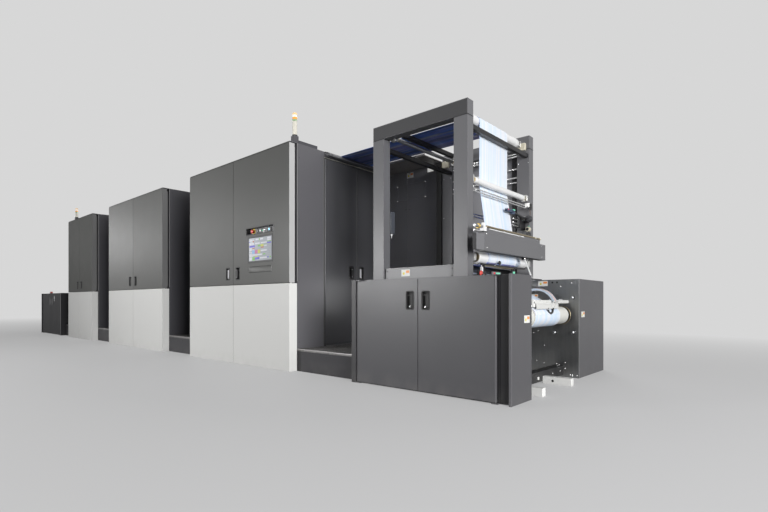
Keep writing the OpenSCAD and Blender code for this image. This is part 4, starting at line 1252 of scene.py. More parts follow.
class PRESS_OT_cabinets(PressOperator, bpy.types.Operator):
    """Add stickers, plinths, seams and screws to the cabinets of both stands"""

    bl_idname = "press.cabinets"
    bl_label = "Cabinets"

    def execute(self, context):
        rear_low, rear_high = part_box("rear_cabinets")
        for stand, sign, facing in (("rewinder", 1, END), ("unwinder", -1, FAR)):
            low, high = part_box(f"{stand}_cabinet")
            outer, inner = (high.x, low.x) if sign > 0 else (low.x, high.x)
            top = high.z
            trim = Piece(f"{stand}_cabinet_trim").at(y=low.y).blocks(
                # the set-back band beside the end cover, darker as painted shade, the stile's skin and the
                # strips in the hinge gaps
                ("band", reach(outer, -sign, 0.0185, 0.104), (0.03, 0.0425), (0.012, top - 0.002), 0.0015),
                ("stile", reach(inner, sign, 0.001, 0.0515), (-0.001, 0.0015), (0.004, top - 0.001), 0.0008),
                ("stile", reach(inner, sign, 0.0525, 0.057), (0.0045, 0.032), (0.006, top - 0.001)),
                ("band", reach(outer, -sign, 0.103, 0.1122), (0.022, 0.0425), (0.012, top - 0.002)),
                # a dark plinth under the doors
                ("black", reach(outer, -sign, 0.108, 1.503), (0.03, 0.0425), (0.0005, 0.014), 0.001))
            trim.screws("black", [(inner + sign * 0.026, -0.001, z) for z in (0.05, top / 2, top - 0.05)],
                NEAR, 0.0042)
            trim.blocks(
                # the cover's folded edge, paler as a painted highlight, and the cabinet's top seam
                ("cover_edge", reach(outer, -sign, -0.0008, 0.0185), (-0.0008, 0.012),
                 (0.004, top + 0.0008), 0.002),
                ("rubber", sorted((inner + sign * 0.002, outer - sign * 0.0185)), (0.118, 0.121),
                 (top - 0.0002, top + 0.0008), 0.0003)).make()
            marks = Piece(f"{stand}_stickers")
            edge = rear_high.x if sign > 0 else rear_low.x
            for place in ((outer, -0.9, 0.6), (edge, 0.52, 0.606)):
                sticker(marks.on(place, *facing), 0, 0, 0.092, sizes().sticker)
            marks.on((sign * 5.604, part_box("side_plates")[0].y, 0.909), *FRONT)
            sticker(marks, 0, 0, 0.098, 0.052)
            sticker(marks, -sign * 0.086, -0.125, 0.072, 0.039)
            marks.make()
            door_low, door_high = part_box(f"{stand}_door_left")
            Piece(f"{stand}_door_seal", f"{stand}_left_door").at(door_high.x, low.y).blocks(("rubber",
                (-0.001, 0.0022), (0.012, 0.018), (door_low.z + 0.004, door_high.z - 0.004), 0.0005)).make()
            # seams, vents and locks of the rear cabinet's covers
            cover = Piece(f"{stand}_rear_cabinet_covers")
            back = rear_high.y
            for k in range(2):
                a, b = reach(edge, -sign, 0.004 + k * 0.78, 0.776 + k * 0.78)
                cover.at().blocks(("cabinet", (a, b), (back - 0.001, back + 0.002),
                    (0.03, rear_high.z - 0.01), 0.0012))
                grille(cover.on(((a + b) / 2, back + 0.002, 0.3), *BACK), 0, 0.36, 0.16, 7, "cabinet_dark")
                cover.on(((a + b) / 2, back + 0.002, 0.7), *BACK).use("black_plastic")
                for u in (-0.34, 0.34):
                    cover.turn((u, 0, -0.0005), OUT, LOCK, sides=16)
            cover.at().blocks(("cabinet", reach(edge, -sign, 0.004, 1.563),
                (rear_low.y + 0.004, back - 0.004), (rear_high.z - 0.0005, rear_high.z + 0.002),
                0.0012)).make()
        return {"FINISHED"}


# ---------------------------------------------------------------- portal

class PRESS_OT_portal(PressOperator, bpy.types.Operator):
    """Add seams, screws, the cable clip, the rear sheet and the beam's skins to the portal"""

    bl_idname = "press.portal"
    bl_label = "Portal"

    POST = (0.135, 0.092)     # width and depth of a post

    def execute(self, context):
        low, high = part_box("portal_posts")
        beam_low, beam_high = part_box("portal_beams")
        front, behind, top = beam_low.y, beam_high.y, high.z
        post, deep = self.POST
        seams = Piece("portal_seams").use("seam")
        for y in (front, behind - deep):
            for x in (low.x, high.x - post):
                seams.at(x + post / 2, y + deep / 2, top - 0.005).frame(self.POST, 0.001, (0, 0.008), 0.0005)
        seams.make()
        places = [(low.x + x, -z) for z in (0.14, 0.594) for x in (0.02, 0.115)]
        places += [(high.x - x, -z) for x, z in ((0.118, 0.14), (0.015, 0.14), (0.07, 0.08))]
        Piece("portal_screws").at(0, behind - deep, top).screws("steel", [(x, 0, z) for x, z in places], NEAR,
            0.005).make()
        x0, x1, z = beam_low.x, beam_high.x, beam_high.z
        Piece("portal_beam_skins").blocks(("beam", (x0 + 0.003, x1 - 0.003), (front - 0.0015, front + 0.001),
            (beam_low.z + 0.003, z - 0.004), 0.0012), *[("portal", (x0 + 0.004, x1 - 0.004),
            (y + 0.004, y + deep - 0.004), (z - 0.0005, z + 0.002), 0.001) for y in (front,
            behind - deep)]).make()
        # cable clip on the inner face of the left front post
        clip = Piece("post_cable_clip").on((low.x + post, -0.66, 1.382), *END).use("roller_white")
        clip.pad(0.014, 0.018, 0.003, (-0.001, 0.008, 0.012), 0.002, 0.002)
        clip.tube([(0, 0.006, 0.008), (-0.006, -0.018, 0.012), (-0.004, -0.034, 0.005)], 0.003, 8).make()
        # dark sheet that closes the rear frame behind the rails, and two dark strips on it
        a, b = low.x + post, high.x - post
        Piece("portal_rear_sheet").at(0, behind, top).blocks(
            ("rear_wall", (a, b), (-0.032, -0.028), (-1.345, -0.003), 0.001),
            ("black", (b - 0.075, b - 0.03), (-0.05, -0.0325), (-1.345, -0.003), 0.002),
            ("black", (a + 0.02, a + 0.045), (-0.044, -0.0325), (-1.345, -0.003), 0.002)).make()
        # the sill's bright top strip and its dark joint beside the post
        sill_low, sill_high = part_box("portal_sill")
        y = sill_low.y
        sill = Piece("portal_sill_trim").blocks(
            ("edge", (sill_low.x + 0.003, sill_high.x - 0.003), (y + 0.001, y + 0.02),
             (sill_high.z - 0.0005, sill_high.z + 0.0015), 0.0006),
            ("rubber", (sill_low.x + 0.0005, sill_low.x + 0.01), (y - 0.001, y + 0.004),
             (sill_low.z + 0.004, sill_high.z - 0.006)))
        sill.screws("black", [(x, y, z) for x in (sill_low.x + 0.03, sill_high.x - 0.03)
            for z in (sill_low.z + 0.03, sill_high.z - 0.03)], NEAR, 0.0045).make()
        marks = Piece("sill_sticker").on((4.781, y, 0.995), *FRONT)
        sticker(marks, 0, 0, 0.1, 0.062)
        marks.make()
        return {"FINISHED"}


# ---------------------------------------------------------------- rollers

class PRESS_OT_rollers(PressOperator, bpy.types.Operator):
    """Turn the rollers with their sleeves, end rings, journals and nuts, and build their bearing housings"""

    bl_idname = "press.rollers"
    bl_label = "Rollers"

    JOURNAL, BORE = 0.012, 0.0123

    # node: finish of the sleeve, of the ends and of the collar
    KINDS = {
        "exit_roller": ("dark_tube", "dark_tube", "brass"),
        "lead_roller": ("tube", "tube", "brass"),
        "top_roller": ("roller_white", "roller_white", "brass"),
        "idler_roller": ("roller_white", "roller_white", "brass"),
        "drum_roller": ("drum_print", "roller_white", "bronze"),
    }
    # where the far end stops, and where the dark journal behind it starts
    SHORT = {"drum_roller": (0.312, 0.3), "top_roller": (0.326, 0.32)}

    def roller(self, node, sleeve, end, collar):
        low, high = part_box(node)
        x, z, radius, journal = (low.x + high.x) / 2, (low.z + high.z) / 2, (high.z - low.z) / 2, self.JOURNAL
        shoulder = 0.016 if node == "exit_roller" else 0.07
        y0, y1 = low.y + shoulder, high.y - shoulder
        made = Piece(f"{node}_turned", f"{node}_body").at(x, 0, z).use("steel")
        made.rod((0, low.y + 0.0002, 0), (0, high.y - 0.0002, 0), journal - 0.0002, sides=24)
        cap = far_cap = min(0.055, (y1 - y0) * 0.1)
        if node in self.SHORT:
            stop, dark = self.SHORT[node]
            made.use("black").turn((0, dark, 0), ALONG, [(0, radius * 0.6), (y1 - dark - 0.002, radius * 0.6),
                (y1 - dark, radius * 0.56)], sides=40)
            y1 = stop
        if node == "drum_roller":
            cap, far_cap = -0.407 - y0, 0.148
        made.use(end)
        for start, wide in ((y1 - far_cap, far_cap), (y0, cap)):
            made.turn((0, start, 0), ALONG, [(0, journal - 0.002), (0, radius * 0.72), (0.002, radius * 0.95),
                (0.005, radius), (wide - 0.005, radius), (wide - 0.002, radius * 0.95), (wide, radius * 0.72),
                (wide, journal - 0.002)], closed=True, sides=40)
        sleeve_long = y1 - y0 - cap - far_cap - 0.0016
        made.use(sleeve).turn((0, y0 + cap + 0.0008, 0), ALONG, [
            (0, radius * 0.96), (0.0015, radius - 0.0003), (sleeve_long - 0.0015, radius - 0.0003),
            (sleeve_long, radius * 0.96)], sides=48)
        if node != "exit_roller":
            # collar, spacer and nut on each journal, clear of the bearing housings
            bronze = collar == "bronze"
            for start, way in ((y0, -1), (y1, 1)):
                made.use(collar).turn((0, start, 0), (0, way, 0), [
                    (0, journal - 0.001), (0, radius * 0.8), (0.006, radius * 0.8), (0.0065, radius * 0.66),
                    (0.0065, journal - 0.001)], closed=True, sides=32)
                made.use("bronze" if bronze else "chrome").turn((0, start + way * 0.0065, 0), (0, way, 0),
                    [(0, journal + 0.006), (0.008, journal + 0.006), (0.009, journal + 0.004),
                    (0.01, journal)], sides=24)
                made.use("black" if bronze else "cream_nut").turn((0, start + way * 0.016, 0), (0, way, 0), [
                    (0, journal + 0.01), (0.013, journal + 0.01), (0.015, journal + 0.007)], sides=6)
            made.screws("black", round_places(6, radius * 0.55, y0 + 0.0005), NEAR, 0.003)
        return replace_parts(made.make(),
            node)

    def housing(self, piece, centre, facing, half=0.032, deep=0.034):
        """A bearing housing: a rounded block with a bore, a pressed ring and four screws."""
        bore = self.BORE
        flat = [(p[0], p[1]) for p in rounded_loop(2 * half, 2 * half, 0.008, 0, 6)]
        circle = [(math.cos(a), math.sin(a)) for a in (math.atan2(v, u) for u, v in flat)]
        sections = ((flat, 1, 0), (flat, 1, deep - 0.0015), (flat, 0.96, deep), (circle, bore + 0.006, deep),
            (circle, bore, deep - 0.002), (circle, bore, 0))
        piece.on(centre, *facing).use("aluminium").loft([[(u * size, v * size, level) for u, v in outline]
            for outline, size, level in sections], closed=True)
        piece.use("steel").ring((0, 0, deep - 0.0005), (0, 0, deep + 0.0015), bore + 0.008, bore + 0.003)
        piece.screws("black", corners((-half * 0.72, half * 0.72), (-half * 0.72, half * 0.72), deep), OUT,
            0.004)

    def bracket(self, piece, face, y, x, z, r):
        """An end bracket of the exit roller: a rounded lug on the wall, with a bore."""
        outline = [(face, -r), (x, -r)]
        outline += [(x + r * math.cos(a), r * math.sin(a)) for a in (math.radians(-75 + 15 * k)
            for k in range(11))]
        outline += [(x, r), (face, r)]
        turns = [math.atan2(v, u - x) for u, v in outline]
        bored = [(x + self.BORE * math.cos(a), self.BORE * math.sin(a)) for a in turns]
        piece.use("pillar").loft([[(u, level, z + v) for u, v in points] for points, level in (
            (outline, y), (outline, y + 0.01), (bored, y + 0.01), (bored, y))], closed=True)

    def execute(self, context):
        for node, finishes in self.KINDS.items():
            self.roller(node, *finishes)
        near, far = (corner.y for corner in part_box("lead_roller"))
        blocks = Piece("bearing_housings")
        for node in list(self.KINDS)[1:]:
            low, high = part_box(node)
            centre = (low + high) / 2
            self.housing(blocks, (centre.x, near - 0.0003, centre.z), BACK)
            self.housing(blocks, (centre.x, far + 0.0003, centre.z), FRONT)
        low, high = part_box("exit_roller")
        x, z, r = (low.x + high.x) / 2, (low.z + high.z) / 2, (high.z - low.z) / 2
        blocks.at()
        for y in (low.y - 0.0003, high.y + 0.0003 - 0.01):
            self.bracket(blocks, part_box("end_panels")[1].x, y, x, z, r)
        # bright guide wire before the exit roller
        wire = (x + r + 0.002, z - 0.012)
        blocks.use("tube").rod((wire[0], -0.728, wire[1]), (wire[0], high.y - 0.012, wire[1]), 0.003,
            sides=10)
        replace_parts(blocks.make(0.0004), "roller_blocks")
        return {"FINISHED"}


# ---------------------------------------------------------------- splice station

class PRESS_OT_splice_station(PressOperator, bpy.types.Operator):
    """Add the bronze bar, clamp, screws, lights and strut of the splice station"""

    bl_idname = "press.splice_station"
    bl_label = "Splice Station"

    BODY, END_PLATE = 0.155, 0.134      # heights of the cover's body and of its end plate

    def cover(self, low, high):
        """Skins and screws of the cover, placed from its outer face and its foot."""
        y0, y1, body, tall = -0.7, high.y, self.BODY, high.z - low.z
        cover = Piece("splice_cover_skin").at(high.x, 0, low.z).blocks(
            ("portal", (-0.001, 0.0014), (y0 + 0.002, y1 - 0.001), (0.002, body - 0.001), 0.0012),
            ("portal", (-0.003, -0.0008), (y0 + 0.05, y1 - 0.132), (body - 0.001, tall - 0.002), 0.0008))
        places = corners((y0 + 0.035, y1 - 0.085), (body - 0.014, 0.026)) + corners((-0.08, y1 - 0.2),
            (tall - 0.014,))
        cover.screws("chrome", [(0.0012, y, z) for y, z, _ in places], (1, 0, 0), 0.006)
        # the end plate that reaches past the front post, a dark sheet on its end face that is painted shade,
        # and the seal under the cover
        cover.blocks(("end_plate", (-0.001, 0.0012), (low.y + 0.001, y0 - 0.002), (0.002, self.END_PLATE),
            0.001), ("seam", (-0.0345, -0.0008), (low.y - 0.0012, low.y + 0.0005), (0.001, self.END_PLATE),
            0.0005), ("rubber", (-0.06, -0.01), (y0 + 0.02, y1 - 0.02), (-0.0015, 0.0005), 0.0006)).make()

    def bar_and_clamp(self, low, high):
        """The bronze bar on top of the cover, and the clamp at its near end."""
        body = low.z + self.BODY - high.z
        top = Piece("splice_bar").at(high.x, 0, high.z).use("bronze")
        top.rod((-0.01, -0.652, 0.01), (-0.01, 0.43, 0.01), 0.0095, 0.001)
        top.blocks(("white", (-0.0035, -0.0005), (-0.62, 0.05), (-0.01, -0.004)),
            *[("aluminium", (-0.018, -0.003), (y, y + 0.012), (-0.004, 0.006)) for y in (-0.35, 0.02, 0.3)])
        for y in (0.3, 0.408):
            top.use("cream_nut").turn((-0.01, y, 0.01), ALONG, [(0, 0.013), (0.016, 0.013), (0.018, 0.01)],
                sides=16)
        # a pale block, a silver stub and a small brass ring
        top.blocks(("roller_white", (-0.042, -0.007), (-0.7, -0.636), (body + 0.008, 0.008)),
            ("roller_white", (-0.036, -0.014), (-0.69, -0.66), (0.006, 0.04)))
        top.use("tube").rod((-0.026, -0.82, 0.004), (-0.026, -0.698, 0.004), 0.0135)
        top.use("brass").ring((-0.026, -0.762, 0.004), (-0.026, -0.746, 0.004), 0.021, 0.013)
        top.use("chrome").rod((-0.026, -0.826, body + 0.005), (-0.026, -0.7, body + 0.005), 0.0075)
        top.blocks(("black", (-0.046, -0.004), (-0.706, -0.6), (body + 0.0005, body + 0.0085))).make(0.0008)

    def low_fittings(self):
        """Bronze rod, knob, buttons and lights on a dark bracket, under the cover."""
        edge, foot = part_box("drum_roller")[1].x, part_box("drum_roller")[0].z
        rod = -0.016              # level of the rod, from the drum's foot
        made = Piece("splice_low_fittings").at(edge, 0, foot).use("bronze")
        made.rod((-0.03, -0.5, rod), (-0.03, 0.06, rod), 0.009, 0.001)
        made.blocks(("black", (-0.028, -0.018), (-0.56, 0.3), (-0.014, 0.001)),
            *[("black", (-0.042, -0.018), (y, y + 0.012), (rod - 0.03, rod + 0.014)) for y in (-0.512, 0.06)])
        made.use("black_plastic").turn((0.004, -0.32, 0.014), (1, 0, 0), [(0, 0.005), (0.016, 0.005),
            (0.017, 0.016), (0.024, 0.019), (0.031, 0.016), (0.034, 0.008)], sides=20)
        made.use("steel").rod((-0.022, -0.32, -0.01), (0.006, -0.32, 0.014), 0.004, sides=12)
        made.at().blocks(("black", (5.33, 5.56), (-0.67, -0.64), (0.925, 0.96)),
            ("grey_plastic", (5.506, 5.5195), (-0.46, -0.31), (0.95, 0.99)))
        for y in (-0.51, 0.01):
            made.use("black").rod((5.5, y, 0.975), (5.452, y, foot + rod + 0.002), 0.005, sides=12)
        made.blocks(("black", (5.498, 5.512), (-0.69, -0.56), (0.945, 0.99)))
        made.use("red").turn((5.512, -0.664, 0.966), (1, 0, 0), [
            (0, 0.012), (0.006, 0.012), (0.008, 0.022), (0.013, 0.025), (0.018, 0.018)], sides=24)
        made.blocks(("roller_white", (5.496, 5.514), (-0.634, -0.613), (0.985, 1.022)))
        made.use("steel").rod((5.503, -0.624, 1.02), (5.503, -0.624, 1.034), 0.005, sides=12)
        made.use("red_light").turn((5.519, -0.432, 0.976), (1, 0, 0), [(0, 0.01), (0.006, 0.01),
            (0.008, 0.006)], sides=16)
        made.blocks(("green_light", (5.519, 5.524), (-0.4, -0.335), (0.972, 0.984)),
            ("green_light", (5.519, 5.526), (-0.074, -0.044), (0.989, 1.008)), ("black", (5.505, 5.5195),
            (-0.095, -0.025), (0.95, 1.018))).make(0.0006)

    def execute(self, context):
        low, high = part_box("splice_cover")
        self.cover(low, high)
        self.bar_and_clamp(low, high)
        self.low_fittings()
        strut = Piece("splice_strut").use("white")
        strut.tube([(5.565, 0.08, 1.13), (5.575, 0.128, 1.055), (5.585, 0.186, 0.965)], 0.0065, 12)
        for x, y, z in ((5.56, 0.08, 1.135), (5.58, 0.188, 0.959)):
            strut.use("chrome").rod((x, y, z), (x + 0.01, y, z), 0.012)
        strut.blocks(("black", (5.54, 5.562), (0.065, 0.095), (1.125, 1.152)), ("black", (5.578, 5.594),
            (0.176, 0.408), (0.94, 0.952))).make()
        return {"FINISHED"}


class PRESS_OT_sensors(PressOperator, bpy.types.Operator):
    """Build the edge sensor, its motors and the connectors beside the idler roller"""

    bl_idname = "press.sensors"
    bl_label = "Edge Sensor and Motors"

    def sensor(self, x, z, rear):
        """A fork over the web's edge on its arm."""
        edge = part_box("paper_web")[1].y
        made = Piece("edge_sensor").at(x, edge, z - 0.184).blocks(
            *[("sensor_blue", (dx, dx + 0.006), (-0.15, -0.02), (-0.014, 0.012)) for dx in (0, 0.018)],
            ("sensor_blue", (0, 0.024), (-0.04, 0.012), (-0.026, 0.01)),
            ("green_light", (0.008, 0.022), (-0.012, 0.02), (0.01, 0.022)),
            ("red_light", (0.0235, 0.0255), (-0.13, -0.112), (-0.002, 0.009)))
        made.use("black").tube([(0.012, 0.008, -0.01), (0.012, 0.18, -0.028), (0.012, rear - edge - 0.001,
            -0.034)], 0.012, 12)
        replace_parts(made.make(0.001), "sensor_units")

    def execute(self, context):
        idler_low, idler_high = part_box("idler_roller")
        x, z = (idler_low.x + idler_high.x) / 2 + 0.026, (idler_low.z + idler_high.z) / 2
        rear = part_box("sensor_units")[1].y
        self.sensor(x, z, rear)
        # web guide motor on the rear post, its gearbox and its terminal box
        motors = Piece("web_motors").on((x + 0.01, rear - 0.04, z - 0.075), *FRONT).use("grey_plastic")
        motors.use("white").stack((0.05, 0.044, 0.006, -0.02), (0.05, 0.044, 0.006, 0.004),
            (0.03, 0.03, 0.006, 0.016))
        motors.blocks(("black_plastic", (0.02, 0.04), (-0.05, 0.014), (-0.03, 0)))
        motors.use("cable").tube([(0.026, -0.046, -0.006), (0.03, -0.08, -0.008), (0.026, -0.105, -0.012)],
            0.0035, 8)
        motors.on((5.468, rear - 0.04, 1.566), *FRONT).use("motor").turn((0, 0, -0.03), OUT,
            [(0, 0.03), (0.05, 0.03), (0.053, 0.028), (0.06, 0.028), (0.063, 0.025)], sides=24)
        for k in range(7):
            motors.ring((0, 0, -0.024 + k * 0.007), (0, 0, -0.021 + k * 0.007), 0.032, 0.029)
        motors.blocks(("aluminium", (-0.074, -0.038), (-0.02, 0.024), (-0.026, 0.022)))
        # pressed ring with its black hub, and the bright pins beside the web
        motors.use("cream_nut").ring((-0.01, -0.104, -0.03), (-0.01, -0.104, 0.01), 0.024, 0.016, sides=24)
        motors.use("black_plastic").rod((-0.01, -0.104, -0.03), (-0.01, -0.104, 0.016), 0.0155)
        motors.blocks(("green_light", (0.002, 0.01), (-0.078, -0.073), (0.004, 0.012)),
            ("black", (-0.024, 0.01), (-0.19, -0.138), (-0.034, 0.006)))
        motors.at()
        for level in (1.55, 1.512, 1.484):
            motors.use("chrome").rod((5.4, 0.17, level), (5.4, 0.3, level), 0.006, sides=12)
        motors.blocks(("black", (5.385, 5.415), (0.292, rear), (1.46, 1.58)))
        # drive box at the inner face of the left front post
        motors.on((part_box("sensor_units")[0].x + 0.016, -0.648, z - 0.28), *FRONT).use("drive_box")
        motors.pad(0.031, 0.212, 0.005, (-0.03, 0.026, 0.03), 0.003, 0.004).make(0.0008)
        bars = Piece("roller_spindle_blocks").use("cream_nut")
        top_low, top_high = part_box("top_roller")
        bars.on(((top_low.x + top_high.x) / 2 + 0.033, rear - 0.001, 2.315), *FRONT)
        bars.pad(0.088, 0.074, 0.006, (0, 0.022, 0.026), 0.005, 0.005)
        bars.on((4.446, rear - 0.001, 2.314), *FRONT).pad(0.092, 0.078, 0.01, (0, 0.022, 0.028), 0.006,
            0.008).make()
        return {"FINISHED"}


# ---------------------------------------------------------------- rewinding

class PRESS_OT_rewind_bay(PressOperator, bpy.types.Operator):
    """Turn the chuck and core, and build the rider beam, its rod, handle and the side plate's fittings"""

    bl_idname = "press.rewind_bay"
    bl_label = "Rewind Bay"

    # screws of the side plate: x and z
    PLATE_SCREWS = ((5.509, 0.416), (5.553, 0.438), (5.619, 0.296), (5.539, 0.137), (5.614, 0.12), (5.743,
        0.12),
                    (5.762, 0.112), (5.822, 0.14), (5.822, 0.081), (5.752, 0.024), (5.709, 0.016), (5.873,
                    0.025),
                    (5.893, 0.025), (5.936, 0.025), (5.887, 0.904), (5.78, 0.875), (4.6, 0.9), (4.6, 0.1),
                    (5.1, 0.9), (5.1, 0.1))

    def winding(self, x, z):
        """The chucks with the shaft, and the wound paper."""
        low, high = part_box("rewind_roll")
        core_low, core_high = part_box("rewind_core")
        bore, r = (core_high.z - core_low.z) / 2, (high.z - low.z) / 2
        core = Piece("rewind_chucks", "rewound_roll").at(x, 0, z).use("chuck")
        core.turn((0, low.y - 0.06, 0), ALONG, [(0, bore - 0.03), (0.003, bore - 0.012),
            (0.01, bore - 0.0002), (0.09, bore - 0.0001), (0.091, bore - 0.018)], sides=48)
        hub = 0.31 - high.y + 0.03
        core.turn((0, high.y - 0.03, 0), ALONG, [(0, bore - 0.018), (0.001, bore - 0.0001),
            (hub - 0.01, bore - 0.0001), (hub - 0.003, bore - 0.008), (hub, bore - 0.026)], sides=48)
        core.use("steel").rod((0, core_low.y + 0.0002, 0), (0, core_high.y - 0.0002, 0), SHAFT, sides=40)
        for near, far in zip(round_places(6, 0.06, low.y - 0.059), round_places(6, 0.05, 0.3095)):
            core.use("black").screw(near, NEAR, 0.004).screw(far, ALONG, 0.003)
        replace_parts(core.make(), "rewind_core")
        paper = Piece("rewound_paper", "rewound_roll").at(x, 0, z).use("roll")
        wound(paper, low.y, high.y - low.y, bore + 0.0002, r, 0.0006, 72)
        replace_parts(paper.make(), "rewind_roll")

    def plate_fittings(self, x, z, plate):
        made = Piece("side_plate_fittings").at(x, plate, z).use("bronze")
        made.ring((0, -0.072, 0), (0, -0.062, 0), 0.0885, 0.08, sides=48)
        made.use("black").ring((0, -0.07, 0), (0, 0.0005, 0), 0.08, 0.0405, sides=48)
        for dx, dz in ((0.085, 0.166), (-0.088, -0.172), (0.089, -0.164)):
            made.use("tube").turn((dx, 0, dz), NEAR, [(-0.001, 0.01), (0.014, 0.009), (0.016, 0.014),
                (0.022, 0.0165), (0.03, 0.015), (0.035, 0.008)], sides=24)
            made.use("black").ring((dx, -0.002, dz), (dx, 0.0005, dz), 0.017, 0.01)
        made.at(0, plate).screws("chrome", [(sx, 0, sz) for sx, sz in self.PLATE_SCREWS], NEAR)
        for sx in (5.7, 5.746):
            made.use("rubber").turn((sx, 0, 0.917), NEAR, [(-0.0005, 0.009), (0.001, 0.009), (0.0015, 0.007)],
                sides=16)
        made.make()

    def rider(self, low, high, plate):
        """The rod with its spring, the beam with its hanging plate, bracket and hinge, and the handle."""
        rod = Piece("rider_rod").at(low.x - 0.014, 0, high.z - 0.008).use("chrome")
        rod.rod((0, low.y + 0.001, 0), (0, plate - 0.01, 0), 0.009, 0.001)
        for k in range(9):
            y = plate - 0.12 + k * 0.006
            rod.ring((0, y, 0), (0, y + 0.004, 0), 0.016, 0.0085, sides=20)
        rod.turn((0, plate - 0.06, 0), ALONG, [(0, 0.012), (0.004, 0.02), (0.022, 0.02), (0.028, 0.012),
            (0.05, 0.01), (0.06, 0.01)], sides=24).make()
        edge, base, wide, y0, y1 = high.x - low.x, 0.046, 0.038, -0.43, 0.04
        beam = Piece("rider_beam_plate").at(low.x, 0, low.z)
        beam.blocks(("silver_paint", (0, wide), (low.y, high.y), (base, base + 0.03), 0.003))
        section = [(wide - 0.001, base), (edge - 0.001, base - 0.004), (edge - 0.001, 0.001),
            (edge - 0.0065, 0), (edge - 0.0065, base), (edge - 0.012, base + 0.006),
            (wide - 0.001, base + 0.006)]
        beam.loft([[(u, y, v) for u, v in section] for y in (y0, y1)])
        beam.blocks(("silver_paint", (edge - 0.0035, edge - 0.0002), (y0 + 0.002, y1 - 0.002),
            (base - 0.01, base - 0.004), 0.001), ("white", (0.004, edge - 0.01), (y0 - 0.036, y0 - 0.004),
            (base - 0.03, base + 0.034)))
        beam.use("rubber").turn((edge - 0.0102, y0 - 0.02, base + 0.008), (1, 0, 0),
            [(0, 0.008), (0.0008, 0.008), (0.001, 0.007)], sides=20)
        beam.use("chrome").rod((edge - 0.03, y0 - 0.04, base - 0.02), (edge - 0.03, y0 + 0.03, base - 0.02),
            0.006, sides=16)
        beam.screws("chrome", [(wide / 2, y, base + 0.03) for y in (y0 + 0.05, y1 - 0.05)], OUT, 0.006)
        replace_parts(beam.make(0.0008), "rider_beam")
        grip = Piece("rider_handle").at(high.x - 0.003, -0.14, low.z).use("black_plastic")
        bend = [(0, -0.052 * math.cos(a), -0.006 - 0.034 * math.sin(a)) for a in (math.pi * k / 8
            for k in range(9))]
        grip.tube([(0, -0.058, 0.004), *bend, (0, 0.058, 0.004)], 0.011, 12)
        grip.use("pale_plastic").ring((0, -0.058, -0.006), (0, -0.058, 0), 0.014, 0.0105).make()

    def execute(self, context):
        low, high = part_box("rewind_roll")
        x, z, plate = (low.x + high.x) / 2, (low.z + high.z) / 2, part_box("side_plates")[0].y
        self.winding(x, z)
        self.plate_fittings(x, z, plate)
        self.rider(*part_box("rider_beam"), plate)
        return {"FINISHED"}


class PRESS_OT_guard(PressOperator, bpy.types.Operator):
    """Build the clear double arc over the rewound roll"""

    bl_idname = "press.guard"
    bl_label = "Roll Guard"

    RADIUS, MIDDLE, STEPS = 0.19, 5.715, 22

    def execute(self, context):
        low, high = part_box("roll_guard")
        y0, y1 = low.y, high.y
        level = low.z - 0.058
        start = math.asin((low.z + 0.0005 - level) / self.RADIUS)
        end = math.acos((low.x - self.MIDDLE) / self.RADIUS)
        angles = [start + (end - start) * k / self.STEPS for k in range(self.STEPS + 1)]
        arcs = Piece("roll_guard_arcs").at(self.MIDDLE, 0, level)
        # each arc: its finish, how far it lies inside the guard's radius, its thickness, and its two edges
        for finish, inside, thick, a, b in (("guard_arc", 0.001, 0.018, y0, y0 + 0.025),
                                            ("guard_arc", 0.001, 0.018, y1 - 0.025, y1),
                                            ("orange", 0.0005, 0.004, y0 + 0.0255, y0 + 0.0275),
                                            ("orange", 0.0005, 0.004, y1 - 0.0275, y1 - 0.0255),
                                            ("clear", 0.003, 0.004, y0 + 0.026, y1 - 0.026)):
            outer = self.RADIUS - inside
            arcs.use(finish).loft([[(r * math.cos(angle), y, r * math.sin(angle)) for r, y in (
                (outer, a), (outer, b), (outer - thick, b), (outer - thick, a))] for angle in angles])
        tie = self.RADIUS - 0.004
        for a in (start + 0.02, (start + end) / 2, end - 0.02):
            u, v = tie * math.cos(a), tie * math.sin(a)
            arcs.use("chrome").rod((u, y0 - 0.002, v), (u, y1 + 0.002, v), 0.0045, sides=12)
        foot = (self.RADIUS - 0.006) * math.cos(start)
        arcs.blocks(("chrome", (foot - 0.012, foot + 0.008), (y0 - 0.002, y1 + 0.002), (0.0576, 0.076)))
        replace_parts(arcs.make(), "roll_guard")
        return {"FINISHED"}


class PRESS_OT_floor_parts(PressOperator, bpy.types.Operator):
    """Add caps, holes and plugs to the base rails and floor beams"""

    bl_idname = "press.floor_parts"
    bl_label = "Rails and Beams"

    def execute(self, context):
        low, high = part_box("base_rails")
        made = Piece("base_rail_fittings")
        for sign, facing in ((-1, FAR), (1, END)):
            edge, beam = sign * high.x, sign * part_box("floor_beams")[1].x
            for y in (low.y, high.y - 0.06):
                made.use("white").on((edge, y + 0.03, high.z / 2), *facing)
                made.pad(0.056, 0.06, 0.006, (-0.003, 0, 0.002), 0.003, 0.005)
                made.at(edge, y).use("rubber").turn((-sign * 0.16, 0, 0.03), NEAR,
                    [(-0.0005, 0.011), (0.0008, 0.011), (0.001, 0.01)], sides=20)
                made.blocks(("black", reach(0, -sign, 0.045, 0.075), (0.012, 0.048), (0.0002, 0.002)))
            made.use("white").on((beam, -0.178, 0.056), *facing).pad(0.022, 0.026, 0.003,
                (-0.001, 0.008, 0.01), 0.002, 0.003)
            made.at().screws("steel", [(beam, y, 0.065) for y in (-0.7, -0.45, 0.15, 0.33)], (sign, 0, 0),
                0.007)
        made.make()
        return {"FINISHED"}


# ---------------------------------------------------------------- roofs, backs and ends of the modules

